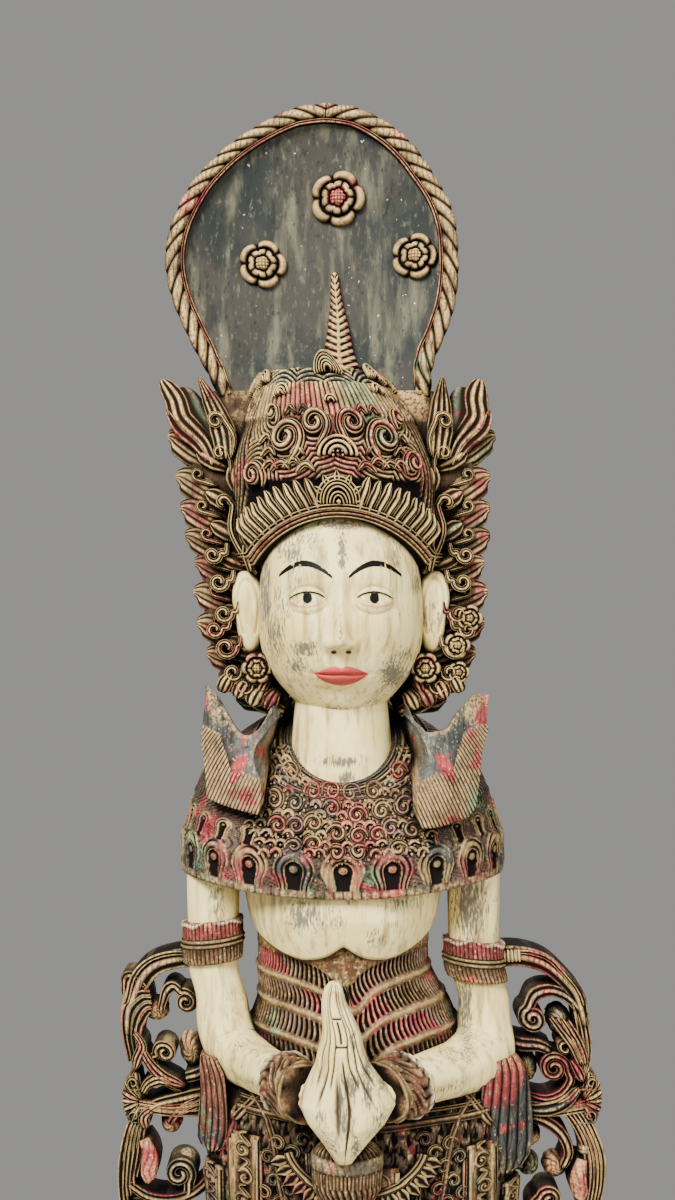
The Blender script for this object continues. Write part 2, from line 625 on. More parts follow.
def hands_form(u, v):
    angle = front(u, 0.2)
    z = HANDS_FOOT + HANDS_TALL * v
    across = np.sin(angle)
    facing = np.cos(angle) > 0
    seam = bell(across, 0.05, 0.05) * ease(694, 684, z) * facing
    seam = seam + bell(across, -0.02, 0.09) * ease(701, 703, z) * ease(721, 719, z) * facing
    thumb = bell(across, -0.21, 0.07) * ease(616, 634, z) * ease(684, 664, z) * facing
    fingers = 0
    for place, foot_at in ((0.34, 652), (0.58, 640), (0.8, 654)):
        wander = place + 0.04 * np.sin(z / 9 + 9 * place + across)
        fingers = fingers + bell(np.abs(across), wander, 0.055) * ease(foot_at, foot_at + 22, z)
    joints = bell(z, 722, 1.2) * (np.abs(across) < 0.3) + bell(z, 700, 1.2) * (np.abs(across) < 0.3)
    heel = 2 * bell(np.abs(across), 0.4, 0.25) * bell(z, 640, 16)
    out = heel - 2.8 * seam * ease(606, 616, z) - 3 * thumb - 2.2 * fingers - 1.2 * joints * facing
    relief = np.clip(1 - seam - 0.8 * thumb - 0.85 * fingers - joints * facing, 0, 1)
    x, y, z = hands_wall(angle, z, out)
    return x - 12 + 0.06 * (z - 680), y, z, relief, CREAM


hands = carve(240, 170, hands_form)
smear(hands, [(-12, 668, 9, 12, 0.9), (-16, 640, 8, 14, 0.8), (-34, 642, 8, 16, 0.5), (12, 640, 8, 16, 0.6),
              (-10, 700, 5, 14, 0.6), (-12, 735, 5, 8, 0.7), (-20, 655, 3, 22, 1.0), (2, 672, 5, 24, 0.9),
              (16, 668, 6, 10, 0.8), (-30, 618, 10, 8, 0.6), (-7, 616, 4, 12, 0.9)])
finish("hands", [hands], flesh, 26000)


def cuff_form(side, u, v):
    """A cuff that widens towards the elbow: a cord by the hand, then curled leaves with a torn edge."""
    turn = 2 * np.pi * u
    p = np.clip((2 * v - 1) * 1.1, -1, 1)
    curl = np.sin(5 * turn + 3 * p) * np.cos(6 * p)
    leaves = notch(turn * 24 + 9 * np.sin(3 * p), 8, 0.6)
    cord = bell(p, 0.62, 0.1) + bell(p, 0.88, 0.1)
    torn = bell(p + 0.9 + 0.08 * np.sin(5 * turn), 0, 0.09)
    out = 22.6 + 1.8 * (1 - p) + 1.4 * curl + 1.5 * leaves * (p < 0.5) + 2.0 * cord + 1.4 * torn
    out = np.where(np.abs(2 * v - 1) * 1.1 > 1, 17, out)
    wrist = np.array([side * (47 - 12 * side), -114, 654])
    elbow = np.array([side * 69 - 6, -84, 655])
    ahead = (wrist - elbow) / np.linalg.norm(wrist - elbow)
    across = np.cross(ahead, (0, 0, 1))
    across /= np.linalg.norm(across)
    rise = np.cross(across, ahead)
    middle = wrist + ahead * 10
    at = [middle[k] + ahead[k] * 16 * p + out * (across[k] * np.cos(turn) + rise[k] * np.sin(turn))
          for k in range(3)]
    relief = np.clip(0.3 + 0.5 * leaves * (p < 0.5) + 0.6 * cord + 0.2 * curl, 0, 1)
    paint = daub(cord > 0.4, OCHRE * 0.5, daub(curl > 0.2, UMBER + PINK * 0.2, UMBER * 1.1))
    paint = daub(torn > 0.5, tone(214, 200, 170), paint)
    return *at, relief, paint


finish("cuffs", [carve(220, 40, lambda u, v: cuff_form(side, u, v)) for side in (-1, 1)],
       old_paint("cuff_paint", 0.35, 0.1, rub=0.35), 13000)

# The head: smooth carved wood under cream paint, with the features brushed on. The face is
# calm and even, drawn by the old rule of thirds and of a face five eyes wide.

NECK_FOOT, NECK_TALL = 886, 120
neck_wall = wall([(884, 46, 47, -14), (905, 46, 46.5, -14), (930, 45, 44, -13), (950, 43, 42, -12),
             (970, 41, 41, -11), (1010, 41, 44, -8)])


def neck_form(u, v):
    angle = front(u, 0.2)
    z = NECK_FOOT + NECK_TALL * v
    folds = bell(z - 921 + 6 * np.cos(angle), 0, 1.6) + 0.7 * bell(z - 938 + 6 * np.cos(angle), 0, 1.4)
    return *neck_wall(angle, z, -0.5 * folds), np.clip(1 - 0.15 * folds, 0, 1), CREAM


NOSE_FOOT, BROW, EYE, MOUTH = 1017, 1077, (29, 1060), 996
HEAD_UP, HEAD_WIDE, HEAD_DEEP, HEAD_BACK = 1046, 73, 80, -17
FAR_OFF = 9.0


def features(x, z):
    """How far the face stands out at x, z, how far off the painted lines, lips and blush are, all in mm,
    and how deep its hollows are."""
    far = np.abs(x)
    ex, ez = far - EYE[0], z - EYE[1]
    out = 1.6 * bell(z, BROW + 3, 8) * bell(far, 27, 20)
    out -= 5.5 * bell(ex, 0, 19) * bell(ez, 1, 12) + 2.5 * bell(far, 10, 7) * bell(z, 1062, 11)
    ball = np.clip(1 - (ex / 17) ** 2 - (ez / 11.5) ** 2, 0, 1)
    out += 7 * ball ** 0.7
    half = np.clip(1 - (ex / 15) ** 2, 0, 1)
    upper = 1.5 + 5.2 * half ** 0.8 - 0.04 * ex
    lower = 1.5 - 4.4 * half ** 0.9 - 0.04 * ex
    open_eye = np.minimum(upper - ez, ez - lower)
    lid = 1.5 * bell(ez, upper + 1.3, 1.6) * (half > 0) + 1.0 * bell(ez, lower - 1.0, 1.4) * (half > 0)
    crease = bell(ez, upper + 5.6, 1.1) * bell(ex, -1, 13)
    out += lid - 1.1 * ease(-0.3, 0.6, open_eye) - 0.9 * crease
    rise = np.clip((1070 - z) / 46, 0, 1)
    ridge = (3.5 + 12.5 * rise ** 1.25) * ease(NOSE_FOOT - 3.5, NOSE_FOOT + 5, z) * ease(1092, 1066, z)
    out += ridge * np.exp(-np.abs(far / (5.2 + 3.2 * rise)) ** 2.2)
    out += 5.5 * bell(far, 0, 7.5) * bell(z, 1024, 6.5)
    out += 6.8 * bell(far, 10.5, 4.8) * bell(z, 1021.5, 5.2)
    out -= 1.0 * bell(far, 16.5, 2.2) * bell(z, 1020, 6)
    nostril = bell(far, 6.2, 2.6) * bell(z, 1015.8, 1.7)
    out -= 2.6 * nostril
    out -= 0.9 * bell(x, 0, 2.6) * bell(z, 1008.5, 5)
    arch = np.clip(1 - (far / 23) ** 2, 0, 1)
    top = MOUTH + 0.3 + 7.6 * arch ** 1.1 - 1.9 * bell(x, 0, 3.2) + 0.035 * far
    foot = MOUTH - 9.4 * arch ** 0.85 + 0.035 * far
    line = MOUTH + 0.5 * np.cos(far / 3.6) * bell(far, 0, 12) + 0.035 * far
    lips = np.minimum(np.minimum(top - z, z - foot), 23 - far)
    swell_up = np.clip((top - z) * (z - line), 0, None) / (0.25 * np.maximum(top - line, 1) ** 2)
    swell_low = np.clip((line - z) * (z - foot), 0, None) / (0.25 * np.maximum(line - foot, 1) ** 2)
    out += 5.5 * bell(far, 0, 24) * bell(z - MOUTH, 1, 13)
    out += (2.6 * swell_up ** 0.6 + 3.4 * swell_low ** 0.6) * arch ** 0.5
    parting = bell(z, line, 0.9) * ease(24.5, 22, far)
    out -= 2.2 * parting + 1.6 * bell(far, 24.5, 3) * bell(z - MOUTH, 1, 3)
    out -= 2.2 * bell(far, 0, 15) * bell(z, 981, 4.5)
    out += 5 * bell(far, 0, 17) * bell(z, 969, 9)
    out += 2.5 * bell(far, 42, 17) * bell(z, 1030, 18)
    t = np.clip((far - 7) / 46, 0, 1)
    bow = BROW + 2 + 13 * np.sin(np.pi * np.clip(t * 0.93, 0, 1)) ** 0.9 - 1.5 * t
    brow = np.maximum(np.abs(z - bow) - 2.7 + 1.3 * (2 * t - 1) ** 2, np.maximum(7 - far, far - 53))
    iris = np.hypot(ex + 0.5, ez - 1.7) - 4.4
    iris = np.maximum(iris, -open_eye)
    lash = np.maximum(np.abs(ez - upper) - 0.85, np.abs(ex) - 15.5)
    under = np.maximum(np.abs(ez - lower) - 0.3, np.abs(ex) - 14)
    ink = np.minimum(np.minimum(brow, iris), np.minimum(lash, under))
    blush = np.maximum(np.abs(ez - lower + 3.2) - 1.2, np.abs(ex - 1) - 15)
    hollow = np.clip(1.6 * nostril + 0.9 * parting + 0.25 * crease, 0, 1)
    return out, ink, np.minimum(-lips, FAR_OFF), blush, hollow


HAIR = tone(44, 42, 40)


def head_form(u, v):
    angle = front(u, 0.55)
    swing = np.pi * (v - 0.5)
    swing = swing - 0.12 * np.sin(2 * swing)
    up, girth = np.sin(swing), np.cos(swing)
    z = HEAD_UP + np.where(up > 0, 112, 95) * up
    full = np.where(up > 0, girth ** 0.8 * (1 + 0.04 * ease(0.1, 0.6, up)),
                    girth ** 0.92 * (1 - 0.2 * up ** 2))
    jaw = 1 + 0.05 * bell(z, 1000, 26) * np.abs(np.sin(angle)) ** 2
    x = HEAD_WIDE * full * np.sin(angle) * jaw
    y = HEAD_BACK - HEAD_DEEP * full * np.cos(angle)
    y = y + 6 * ease(1000, 957, z) * (np.cos(angle) > 0) * np.cos(angle)
    facing = np.clip(np.cos(angle), 0, 1) ** 0.6 * ease(950, 962, z)
    out, ink, lips, blush, hollow = features(x, z)
    for name, far in (("ink", ink), ("lips", lips), ("blush", blush)):
        marks[name] = np.where(np.cos(angle) > 0.1, far, FAR_OFF)
    hair = ease(-0.1, -0.2, np.cos(angle)) * ease(-8, 0, z - 985 - 34 * ease(-0.8, -0.1, np.cos(angle)))
    strands = notch(angle * 76 + 3 * np.sin(z / 11), 5.2, 0.6)
    x, y = x * (1 + 0.024 * hair * strands), (y + 17) * (1 + 0.024 * hair * strands) - 17
    paint = HAIR * hair[:, None] + CREAM * (1 - hair[:, None])
    relief = np.where(np.cos(angle) > 0, 1 - hollow, 1 - 0.5 * hair * (1 - strands))
    return x, y - out * facing, z, relief, paint


def face_paint():
    """The flesh paint with brows, lashes, eyes and lips brushed on."""
    material = flesh_paint("face_paint")
    tree = material.node_tree
    skin = tree.nodes["Principled BSDF"]
    colour = Layer(skin.inputs["Base Color"].links[0].from_socket)
    ragged = speckle(tree, 600, 3, shift=4.0)
    worn = speckle(tree, 240, 4, shift=14.0).between(0.74, 0.66)
    brushes = (("blush", tone(214, 122, 110), 1.1, 0.55), ("lips", tone(184, 72, 68), 0.35, 1.0),
               ("ink", tone(6, 6, 8), 0.3, 1.0))
    for name, shade, soft, thick in brushes:
        shaky = brushed(tree, name).work("ADD", ragged, clamp=False)
        colour = colour.coat(shaky.between(0.5 + soft, 0.5 - soft) * worn * thick, shade)
    tree.links.new(colour.socket, skin.inputs["Base Color"])
    return material


marks = {}
face = carve(330, 270, head_form)
for name, far in marks.items():
    brush(face.data, name, far)
smear(face, [(-20, 1124, 20, 5, 0.9), (-18, 1102, 4, 18, 1.0), (-62, 1102, 14, 12, 0.7),
             (-86, 1066, 7, 36, 0.9), (-50, 1018, 12, 7, 0.95), (-57, 1004, 10, 10, 0.8),
             (-76, 1030, 10, 24, 0.7), (-19.5, 1034, 2.2, 14, 0.7), (26, 996, 13, 14, 1.0),
             (36, 1012, 9, 8, 0.6), (-24, 964, 18, 4, 0.8), (48, 1074, 7, 12, 0.7), (38, 1050, 20, 8, 0.25),
             (46, 1110, 14, 10, 0.35)])


def ear_form(side, u, v):
    """An ear: a long flat leaf of wood with a rolled edge and a heavy lobe."""
    turn, swing = 2 * np.pi * u, np.pi * (v - 0.5)
    up, girth = np.sin(swing), np.cos(swing) ** 0.8
    wide = 14 * (1 + 0.16 * up - 0.1 * bell(up, -0.2, 0.3))
    a, b = np.cos(turn) * girth, np.sin(turn) * girth
    cup = np.clip(-b, 0, 1) * bell(a * side, 0.05, 0.42) * bell(up, 0.1, 0.55)
    groove = np.clip(-b, 0, 1) * bell(np.hypot(a, up * 0.9 - 0.05), 0.68, 0.09) * (up > -0.55)
    x = side * 82 + wide * a + side * 2 * up
    y = -18 + 11 * b + 5 * cup + 2.4 * groove
    return x, y, 1050 + 36 * up, np.clip(1 - 0.3 * cup - 0.75 * groove, 0, 1), CREAM * 0.9


neck = carve(90, 36, neck_form)
smear(neck, [(-18, 920, 22, 5, 0.9), (-14, 905, 9, 8, 0.8)])
ears = [carve(56, 50, lambda u, v: ear_form(side, u, v)) for side in (-1, 1)]
for plain in [neck, *ears]:
    for name in marks:
        brush(plain.data, name, np.full(len(plain.data.vertices), FAR_OFF))
finish("head", [face, neck, *ears], face_paint(), 120000)

# The collar: a broad cape round the shoulders, carved in relief in the log and painted.
# Horseshoe arches run along its hem, smaller ones above them, and scales under the throat.

COLLAR_FOOT, COLLAR_TALL, COLLAR_ROUND, COLLAR_ROWS = 818, 132, 118, (826, 856, 890)
collar_wall = wall([(806, 139, 90), (823, 143, 93), (853, 143, 92), (857, 140, 88), (883, 134, 84),
                    (900, 128, 80), (914, 119, 74), (929, 91, 67, -2), (941, 60, 56, -8), (947, 48, 49, -13),
                    (950, 44, 46, -14)], 5)


def hang(x, y, z):
    """How the collar hangs: its hem dips in front, and its neck slopes down to a low round neckline."""
    height = np.clip((z - 860) / 85, 0, 1)
    dip = 13 * np.clip(-y / 93, 0, 1) ** 2 * ease(905, 840, z)
    return x, y, z - dip + (0.76 * y - 1) * height


def horseshoes(across, z, foot, radius, pitch, step):
    """A row of horseshoe arches of nested ridges: their relief, where they are, and where their holes are."""
    cell = ((across / pitch + 0.5) % 1 - 0.5) * pitch
    top = z - foot
    waist = 1 + 0.4 * ease(0, -radius, top)
    far = np.hypot(cell * waist, np.maximum(top, 0))
    turn = np.arctan2(np.maximum(top, 0), cell + 1e-6)
    pressed = 0.4 + 0.6 * np.abs(np.sin(turn + 1.3 * np.floor(across / pitch + 0.5)))
    ridges = 1 - pressed * (0.5 - 0.5 * np.cos(2 * np.pi * (radius - far) / step))
    inside = ease(radius + 1.2, radius - 0.6, far)
    bud = ease(radius * 0.3, radius * 0.18, np.hypot(cell, top - 0.06 * radius))
    hollow = ease(radius * 0.45, radius * 0.38, far)
    return inside * ridges ** 0.7 * (1 - hollow) + 0.6 * bud, inside, hollow * (1 - bud)


def collar_form(u, v):
    angle = front(u, 0.4)
    z = COLLAR_FOOT + COLLAR_TALL * v
    across = angle * COLLAR_ROUND
    low, in_low, hole = horseshoes(across, z, 842, 15.5, 35, 4.6)
    mid, in_mid, slot = horseshoes(across + 17, z, 874, 9.5, 28, 3.8)
    fill = notch(across * 0.8 + 14 * np.sin(z / 5.5), 7, 0.5)
    bead = notch(across, 6.5, 0.6)
    scales = notch(across + 5 * np.sin(z / 4), 6.5, 0.6)
    row = 1.6 * low + 0.9 * in_low - 2.4 * hole + (1 - in_low) * (0.9 * fill - 0.8)
    second = 1.3 * mid + 0.8 * in_mid - 1.8 * slot + (1 - in_mid) * (0.8 * fill - 0.8)
    out = np.select([z < top for top in COLLAR_ROWS], [0.8 + 0.9 * bead, row, second], 0.9 * scales - 0.5)
    out = out + 1.2 * bell(z, 857.5, 1.2) + 1.0 * bell(z, 890, 1.3)
    in_row = in_low * low + (1 - in_low) * (0.2 + 0.6 * fill) - 0.6 * hole
    in_second = in_mid * mid + (1 - in_mid) * (0.2 + 0.6 * fill) - 0.6 * slot
    relief = np.select([z < top for top in COLLAR_ROWS], [0.4 + 0.5 * bead, in_row, in_second],
                       0.1 + 0.6 * scales)
    hue = np.sin(np.floor(across / 35 + 0.5) * 2.1 + 1) + 0.7 * np.sin(across / 23 + z / 9)
    paint = daub(hue > 0.25, MAUVE * 0.5 + UMBER * 0.35, SLATE * 0.4 + UMBER * 0.7)
    arch = daub(hue > 0.5, PINK * 0.6 + MAUVE * 0.2, daub(hue < -0.6, SLATE * 0.8, OCHRE * 0.75))
    paint = daub(in_low * (low > 0.55) > 0.4, arch, paint)
    paint = daub(in_mid * (mid > 0.55) * (z > 858) > 0.4, OCHRE * 0.75, paint)
    return *hang(*collar_wall(angle, z, out)), np.clip(relief, 0, 1), paint


collar_paint = old_paint("collar_paint", 0.25, 0.2, recess=(24, 20, 18), gouge=0.35, rub=0.42)
finish("collar", [carve(620, 126, collar_form)], collar_paint, 62000)

# The curls, leaves and cords of the collar: painted wood too, carved one by one on it. A
# strand is a fluted ridge along a line, with its foot sunk in the wood under it.


def swell(size, t):
    """A size along a strand, from one number, numbers at even steps or a list of (place, number)."""
    if isinstance(size, list):
        place, value = zip(*size)
    else:
        value = np.atleast_1d(size)
        place = np.linspace(0, 1, len(value))
    return np.interp(t, place, value)


def strand(path, half, rise, lay, tint, flutes=2, veins=0, slant=0.8, rib=0.0, foot=3.0, columns=22,
           rows=None, round_end=0.0, edge=None, both=False, skew=False):
    """A carved strand or leaf along path (across, up, out) in mm, half wide and rise high, laid on the
    wood by lay. With both it is carved on its back too. With skew its cuts slant one way, not in arrows."""
    line = trace([tuple(p) + (0,) * (3 - len(p)) for p in path], 160)
    length = np.linalg.norm(np.diff(line, axis=0), axis=1).sum()
    rim, wall_end, back_end = (0.46, 0.53, 0.93) if both else (0.62, 0.68, 0.94)

    def form(u, v):
        t = np.linspace(0, 1, 160)
        a, b, out = (np.interp(v, t, line[:, k]) for k in range(3))
        da, db = (np.interp(v, t, np.gradient(line[:, k])) for k in range(2))
        run = np.hypot(da, db) + 1e-9
        top, under = u < rim, (u > wall_end) & (u < back_end)
        round_back = (u - wall_end) / (back_end - wall_end)
        flank = u < wall_end
        s = np.select([top, flank, under], [-np.cos(np.pi * u / rim), 1, np.cos(np.pi * round_back)], -1)
        over, below = (np.sin(np.pi * np.clip(way, 0, 1)) for way in (u / rim, round_back))
        dome = np.select([top, under & both], [over, below], 0) ** 0.7
        if veins:
            slanted = s * np.sign(v - 0.5) if skew else np.abs(s)
            phase = (veins * v - slant * slanted) % 1
            ridge = np.abs(np.sin(np.pi * phase)) ** 0.6
            ridge = np.maximum(ridge, rib * bell(s, 0, 0.16))
            lobe = 0.8 + 0.2 * np.sin(np.pi * ((veins * v - slant * (slanted if skew else 1)) % 1)) ** 0.5
        else:
            ridge = (0.5 + 0.5 * np.cos(np.pi * flutes * (s + 1))) ** 0.8
            lobe = 1
        wide, high = swell(half, v) * lobe, swell(rise, v)
        if round_end:
            close = np.sqrt(np.clip(1 - np.clip((v - 1 + round_end) / round_end, 0, 1) ** 2, 0, 1))
            wide, high = wide * close, high * (0.4 + 0.6 * close)
        a, b = a - db / run * s * wide, b + da / run * s * wide
        sunk = np.select([top, flank, under], [0, (u - rim) / (wall_end - rim), 1], (1 - u) / (1 - back_end))
        out = out + np.where(under, -high, high) * dome * (0.58 + 0.42 * ridge) - foot * sunk
        relief = dome ** 0.6 * (0.12 + 0.88 * ridge)
        paint = np.broadcast_to(tint, (len(u), 3))
        if foot > 15:
            plain = ~top & (~under | (not both))
            relief = np.where(plain, 0.55, relief)
            paint = daub(plain, tint * 0.35 + SLATE * 0.35, paint)
        if edge is not None:
            paint = daub(np.abs(s) > 0.62, edge, paint)
        return *lay(a, b, out), np.clip(relief, 0, 1), paint

    return carve(columns, rows or int(np.clip(length / 1.5, 12, 400)), form)


def arc(across, up, wide, tall, angles):
    """Points on an oval, at the given angles in degrees."""
    return [(across + wide * math.cos(a), up + tall * math.sin(a)) for a in np.radians(angles)]


def spiral(across, up, radius, start, turns, hand=1, eye=0.2, count=20):
    """Points on a curl that winds in from radius, from the angle start in degrees."""
    a = np.linspace(0, 1, count)
    r, turn = radius * (1 - (1 - eye) * a ** 0.9), np.radians(start) + hand * 2 * np.pi * turns * a
    return list(zip(across + r * np.cos(turn), up + r * np.sin(turn)))


hand = np.random.default_rng(11)


def pick(*paints):
    """The next pot of paint, with a little of the last one still on the brush."""
    chosen = paints[hand.integers(len(paints))]
    return chosen * (0.85 + 0.3 * hand.random())


def bud(x, z, half, sizes, high, lay, tint, foot=2.5, columns=8, rows=6):
    """A little bead that lies across, half long to each side of x, z."""
    return strand([(x - half, z), (x + half, z)], sizes, high, lay, tint, 0, foot=foot, columns=columns,
                  rows=rows)


def on_collar(x, z, out):
    """Lays x, z, as they are seen from the front, on the hanging collar."""
    low, high = 808 + 0 * z, 949 + 0 * z
    for _ in range(14):
        raw = (low + high) / 2
        width = np.interp(raw, [806, 883, 900, 914, 929, 941, 949], [143, 134, 128, 119, 91, 62, 47])
        angle = np.arcsin(np.clip(x / width, -0.98, 0.98))
        seen = hang(*collar_wall(angle, raw, 0))[2]
        low, high = np.where(seen < z, raw, low), np.where(seen < z, high, raw)
    return hang(*collar_wall(angle, raw, out))


curls = []
BIB = [(-56, 931), (-45, 909), (-25, 895), (7, 894), (27, 895), (50, 909), (59, 930), (-66, 908), (-58, 888),
       (-40, 886), (-39, 868), (-9, 882), (12, 877), (29, 861), (33, 880), (52, 883), (69, 906), (-24, 870),
       (-24, 853), (-5, 862), (13, 860), (-5, 845), (13, 846), (40, 866), (-72, 886), (70, 884), (-54, 868),
       (-9, 896), (-40, 850), (45, 848), (58, 864)]
for x, z in BIB:
    curl_hand = 1 if x > 3 else -1
    start = 90 - curl_hand * 100 + hand.uniform(-25, 25)
    radius = hand.uniform(7.4, 9.2)
    path = spiral(x, z, radius, start, hand.uniform(1.25, 1.5), curl_hand)
    curls.append(strand(path, [(0, 0.8), (0.15, 2.7), (0.8, 2.8), (1, 2.2)], 5, on_collar,
                        pick(MAUVE * 0.75, SLATE * 0.8, OCHRE * 0.8, UMBER * 1.6, PINK * 0.8), 2, foot=3.5,
                        columns=14, rows=40, round_end=0.08))
    for turn in np.radians(np.arange(200, 345, 24)):
        tooth = [(x + r * math.cos(turn), z + r * math.sin(turn)) for r in (radius + 0.5, radius + 3.6)]
        curls.append(strand(tooth, (1.3, 0.8), 3.6, on_collar, pick(MAUVE * 0.7, OCHRE * 0.8), 0, foot=2.5,
                            columns=8, rows=4))
    curls.append(bud(x, z, 1.6, (0, 2.4, 0), 4.6, on_collar, pick(OCHRE, PINK), 3, 12, 8))
for row in range(11):
    for i in range(-9, 10):
        x, z = 9.2 * (i + 0.5 * (row % 2)) + hand.uniform(-1, 1), 844 + 8.2 * row + hand.uniform(-1, 1)
        neckline = 902 + 33 * (1 - math.sqrt(max(0, 1 - (x / 50) ** 2))) if abs(x) < 50 else 945
        crowded = min(math.hypot(x - a, z - b) for a, b in BIB) < 8.4
        if z > neckline - 5 or crowded or abs(x) > 88 - 0.4 * abs(z - 890):
            continue
        side = 1 if x > 0 else -1
        path = [(x - side * 4.4 * math.cos(a), z - 2 + 4.8 * math.sin(a))
                for a in np.linspace(-0.4, math.pi, 10)]
        curls.append(strand(path, [(0, 0.5), (0.3, 1.7), (1, 1.3)], 3.9, on_collar,
                            pick(MAUVE * 0.8, OCHRE * 0.9, SLATE * 0.8, UMBER * 1.5, PINK * 0.75), 0,
                            columns=10, rows=12, foot=2.5))
        curls.append(bud(x, z - 2, 1.3, (0, 1.9, 0), 3.4, on_collar, pick(OCHRE, MAUVE)))
finish("collar_curls", curls, collar_paint, 44000)

cords = []
for z, wide, high, tint in ((947, 1.5, 3.6, SLATE), (943, 2.0, 4.4, OCHRE * 0.9),
                            (938.5, 1.5, 3.4, SLATE * 0.7), (934.5, 1.7, 3.6, MAUVE)):
    size = np.interp(z, [929, 941, 947], [88, 60, 48])
    path = [(math.radians(a) * size, z) for a in range(-176, 177, 8)]
    cords.append(strand(path, wide, high, lambda a, b, out: hang(*collar_wall(a / size, b, out)), tint, 1,
                        foot=3, columns=14, rows=220))
finish("throat_cords", cords, collar_paint, 9000)

# The shoulder wings: stiff ribbed flaps of the collar, thick painted wood over each
# shoulder. Their upper edges hang in a fold from the neck and then rise into smooth horns.

LEFT_FLAP = ([(70, 877), (67, 890), (67, 904), (71, 914), (73, 925), (71, 935), (66, 942), (57, 952),
              (47, 961), (42, 974)],
             [(117, 889), (118.5, 903), (120.5, 921), (123, 934), (122, 953), (120.5, 970), (120, 986)],
             [(70, 877), (84, 880), (97, 883), (108, 886), (117, 889)],
             [(42, 974), (60, 967), (66, 957), (74, 946), (84, 943), (92, 949), (99, 961), (108, 975),
              (120, 986)])
RIGHT_FLAP = ([(65, 866), (61, 880), (61, 893), (66, 905), (70, 915), (71, 928), (67, 940), (59, 952),
               (48, 962), (42, 974)],
              [(116, 883), (119.5, 903), (122, 921), (125, 934), (129, 946), (128, 958), (131, 976)],
              [(65, 866), (80, 866.5), (96, 870), (109, 874), (116, 883)],
              [(42, 974), (57, 970), (62, 956), (72, 946), (82, 946), (92, 949), (99, 959.5), (108, 969),
               (118, 976.5), (131, 976)])
FLAP_STEPS = 80


def flap_form(side, u, v):
    """A flap between its four edges: v runs from the neck outwards, u up its front and down its back."""
    edges = RIGHT_FLAP if side > 0 else LEFT_FLAP
    inner, outer, hem, top = (trace([(*p, 0) for p in edge], FLAP_STEPS)[:, :2].T for edge in edges)
    t = np.where(u < 0.46, u / 0.46, np.where(u < 0.54, 1, np.clip((1 - u) / 0.46, 0, 1)))
    back = ease(0.46, 0.54, u) * ease(1.0, 0.985, u)
    steps = np.linspace(0, 1, FLAP_STEPS)
    x, z = ((1 - v) * np.interp(t, steps, inner[k]) + v * np.interp(t, steps, outer[k])
            + (1 - t) * np.interp(v, steps, hem[k]) + t * np.interp(v, steps, top[k])
            - (1 - v) * ((1 - t) * inner[k][0] + t * inner[k][-1])
            - v * ((1 - t) * outer[k][0] + t * outer[k][-1]) for k in (0, 1))
    shelf = np.interp(x, [60, 80, 95, 99, 106, 122], [902, 911, 912, 925, 944, 951])
    cloth = ease(shelf + 2, shelf - 2, z)
    up = z - 870
    ribs = notch(x + 0.45 * up + 0.0035 * np.clip(up - 30, 0, None) ** 2, 3.4, 0.7)
    folds = notch(z + 0.55 * x + 3 * np.sin(x / 9), 8.5, 1.2)
    lift = 1.7 * cloth * ribs + (1 - cloth) * (0.9 * folds * ease(106, 90, x) - 1.6)
    depth = -91 + 36 * np.clip((x - 56) / 70, 0, 1) ** 2 + 26 * np.clip((z - 883) / 100, 0, 1)
    depth = depth + 64 * ease(82, 44, x) * ease(925, 958, z)
    thick = 20 - 12 * ease(940, 985, z)
    y = depth - lift * (1 - back) + thick * back + 16 * ease(0.05, 0.0, v)
    tint = daub(cloth > 0.5, OCHRE * 0.7 + MAUVE * 0.3, SLATE * 0.62)
    tint = daub((cloth < 0.5) & (x < 92), SLATE * 1.25, tint)
    tongue = np.hypot((x - 90 + 0.3 * (z - 917)) / 7, (z - 917) / 12) + 0.25 * np.sin(x / 3 + z / 5) < 1
    tongue = tongue | ((side > 0) & (x > 114 + 0.5 * np.abs(z - 955)) & (cloth < 0.6))
    tint = daub(tongue, PINK, tint)
    relief = np.where(back > 0.3, 0.5, np.where(cloth > 0.5, 0.1 + 0.85 * ribs, 0.7 + 0.3 * folds))
    return side * x, y, z, np.clip(relief, 0, 1), tint


finish("shoulder_wings", [carve(200, 210, lambda u, v: flap_form(side, u, v)) for side in (-1, 1)],
       collar_paint, 26000)

# The sash and the hangings: painted relief, cut on the skirt. A band and a knot are tied
# under the hands over a garland of leaves, and panels, cords and tail ends hang from them.


GOLD = tone(204, 172, 112)


def on_skirt(x, z, out):
    """Lays x, z, as they are seen from the front, on the skirt."""
    width = np.interp(z, [80, 150, 210, 340, 460, 575, 615, 650], [120, 112, 108, 112, 128, 138, 130, 112])
    return skirt_wall(np.arcsin(np.clip(x / width, -0.985, 0.985)), z, out + 1.5)


def on_panel(x, z, out):
    return on_skirt(x, z, out + 3.2)


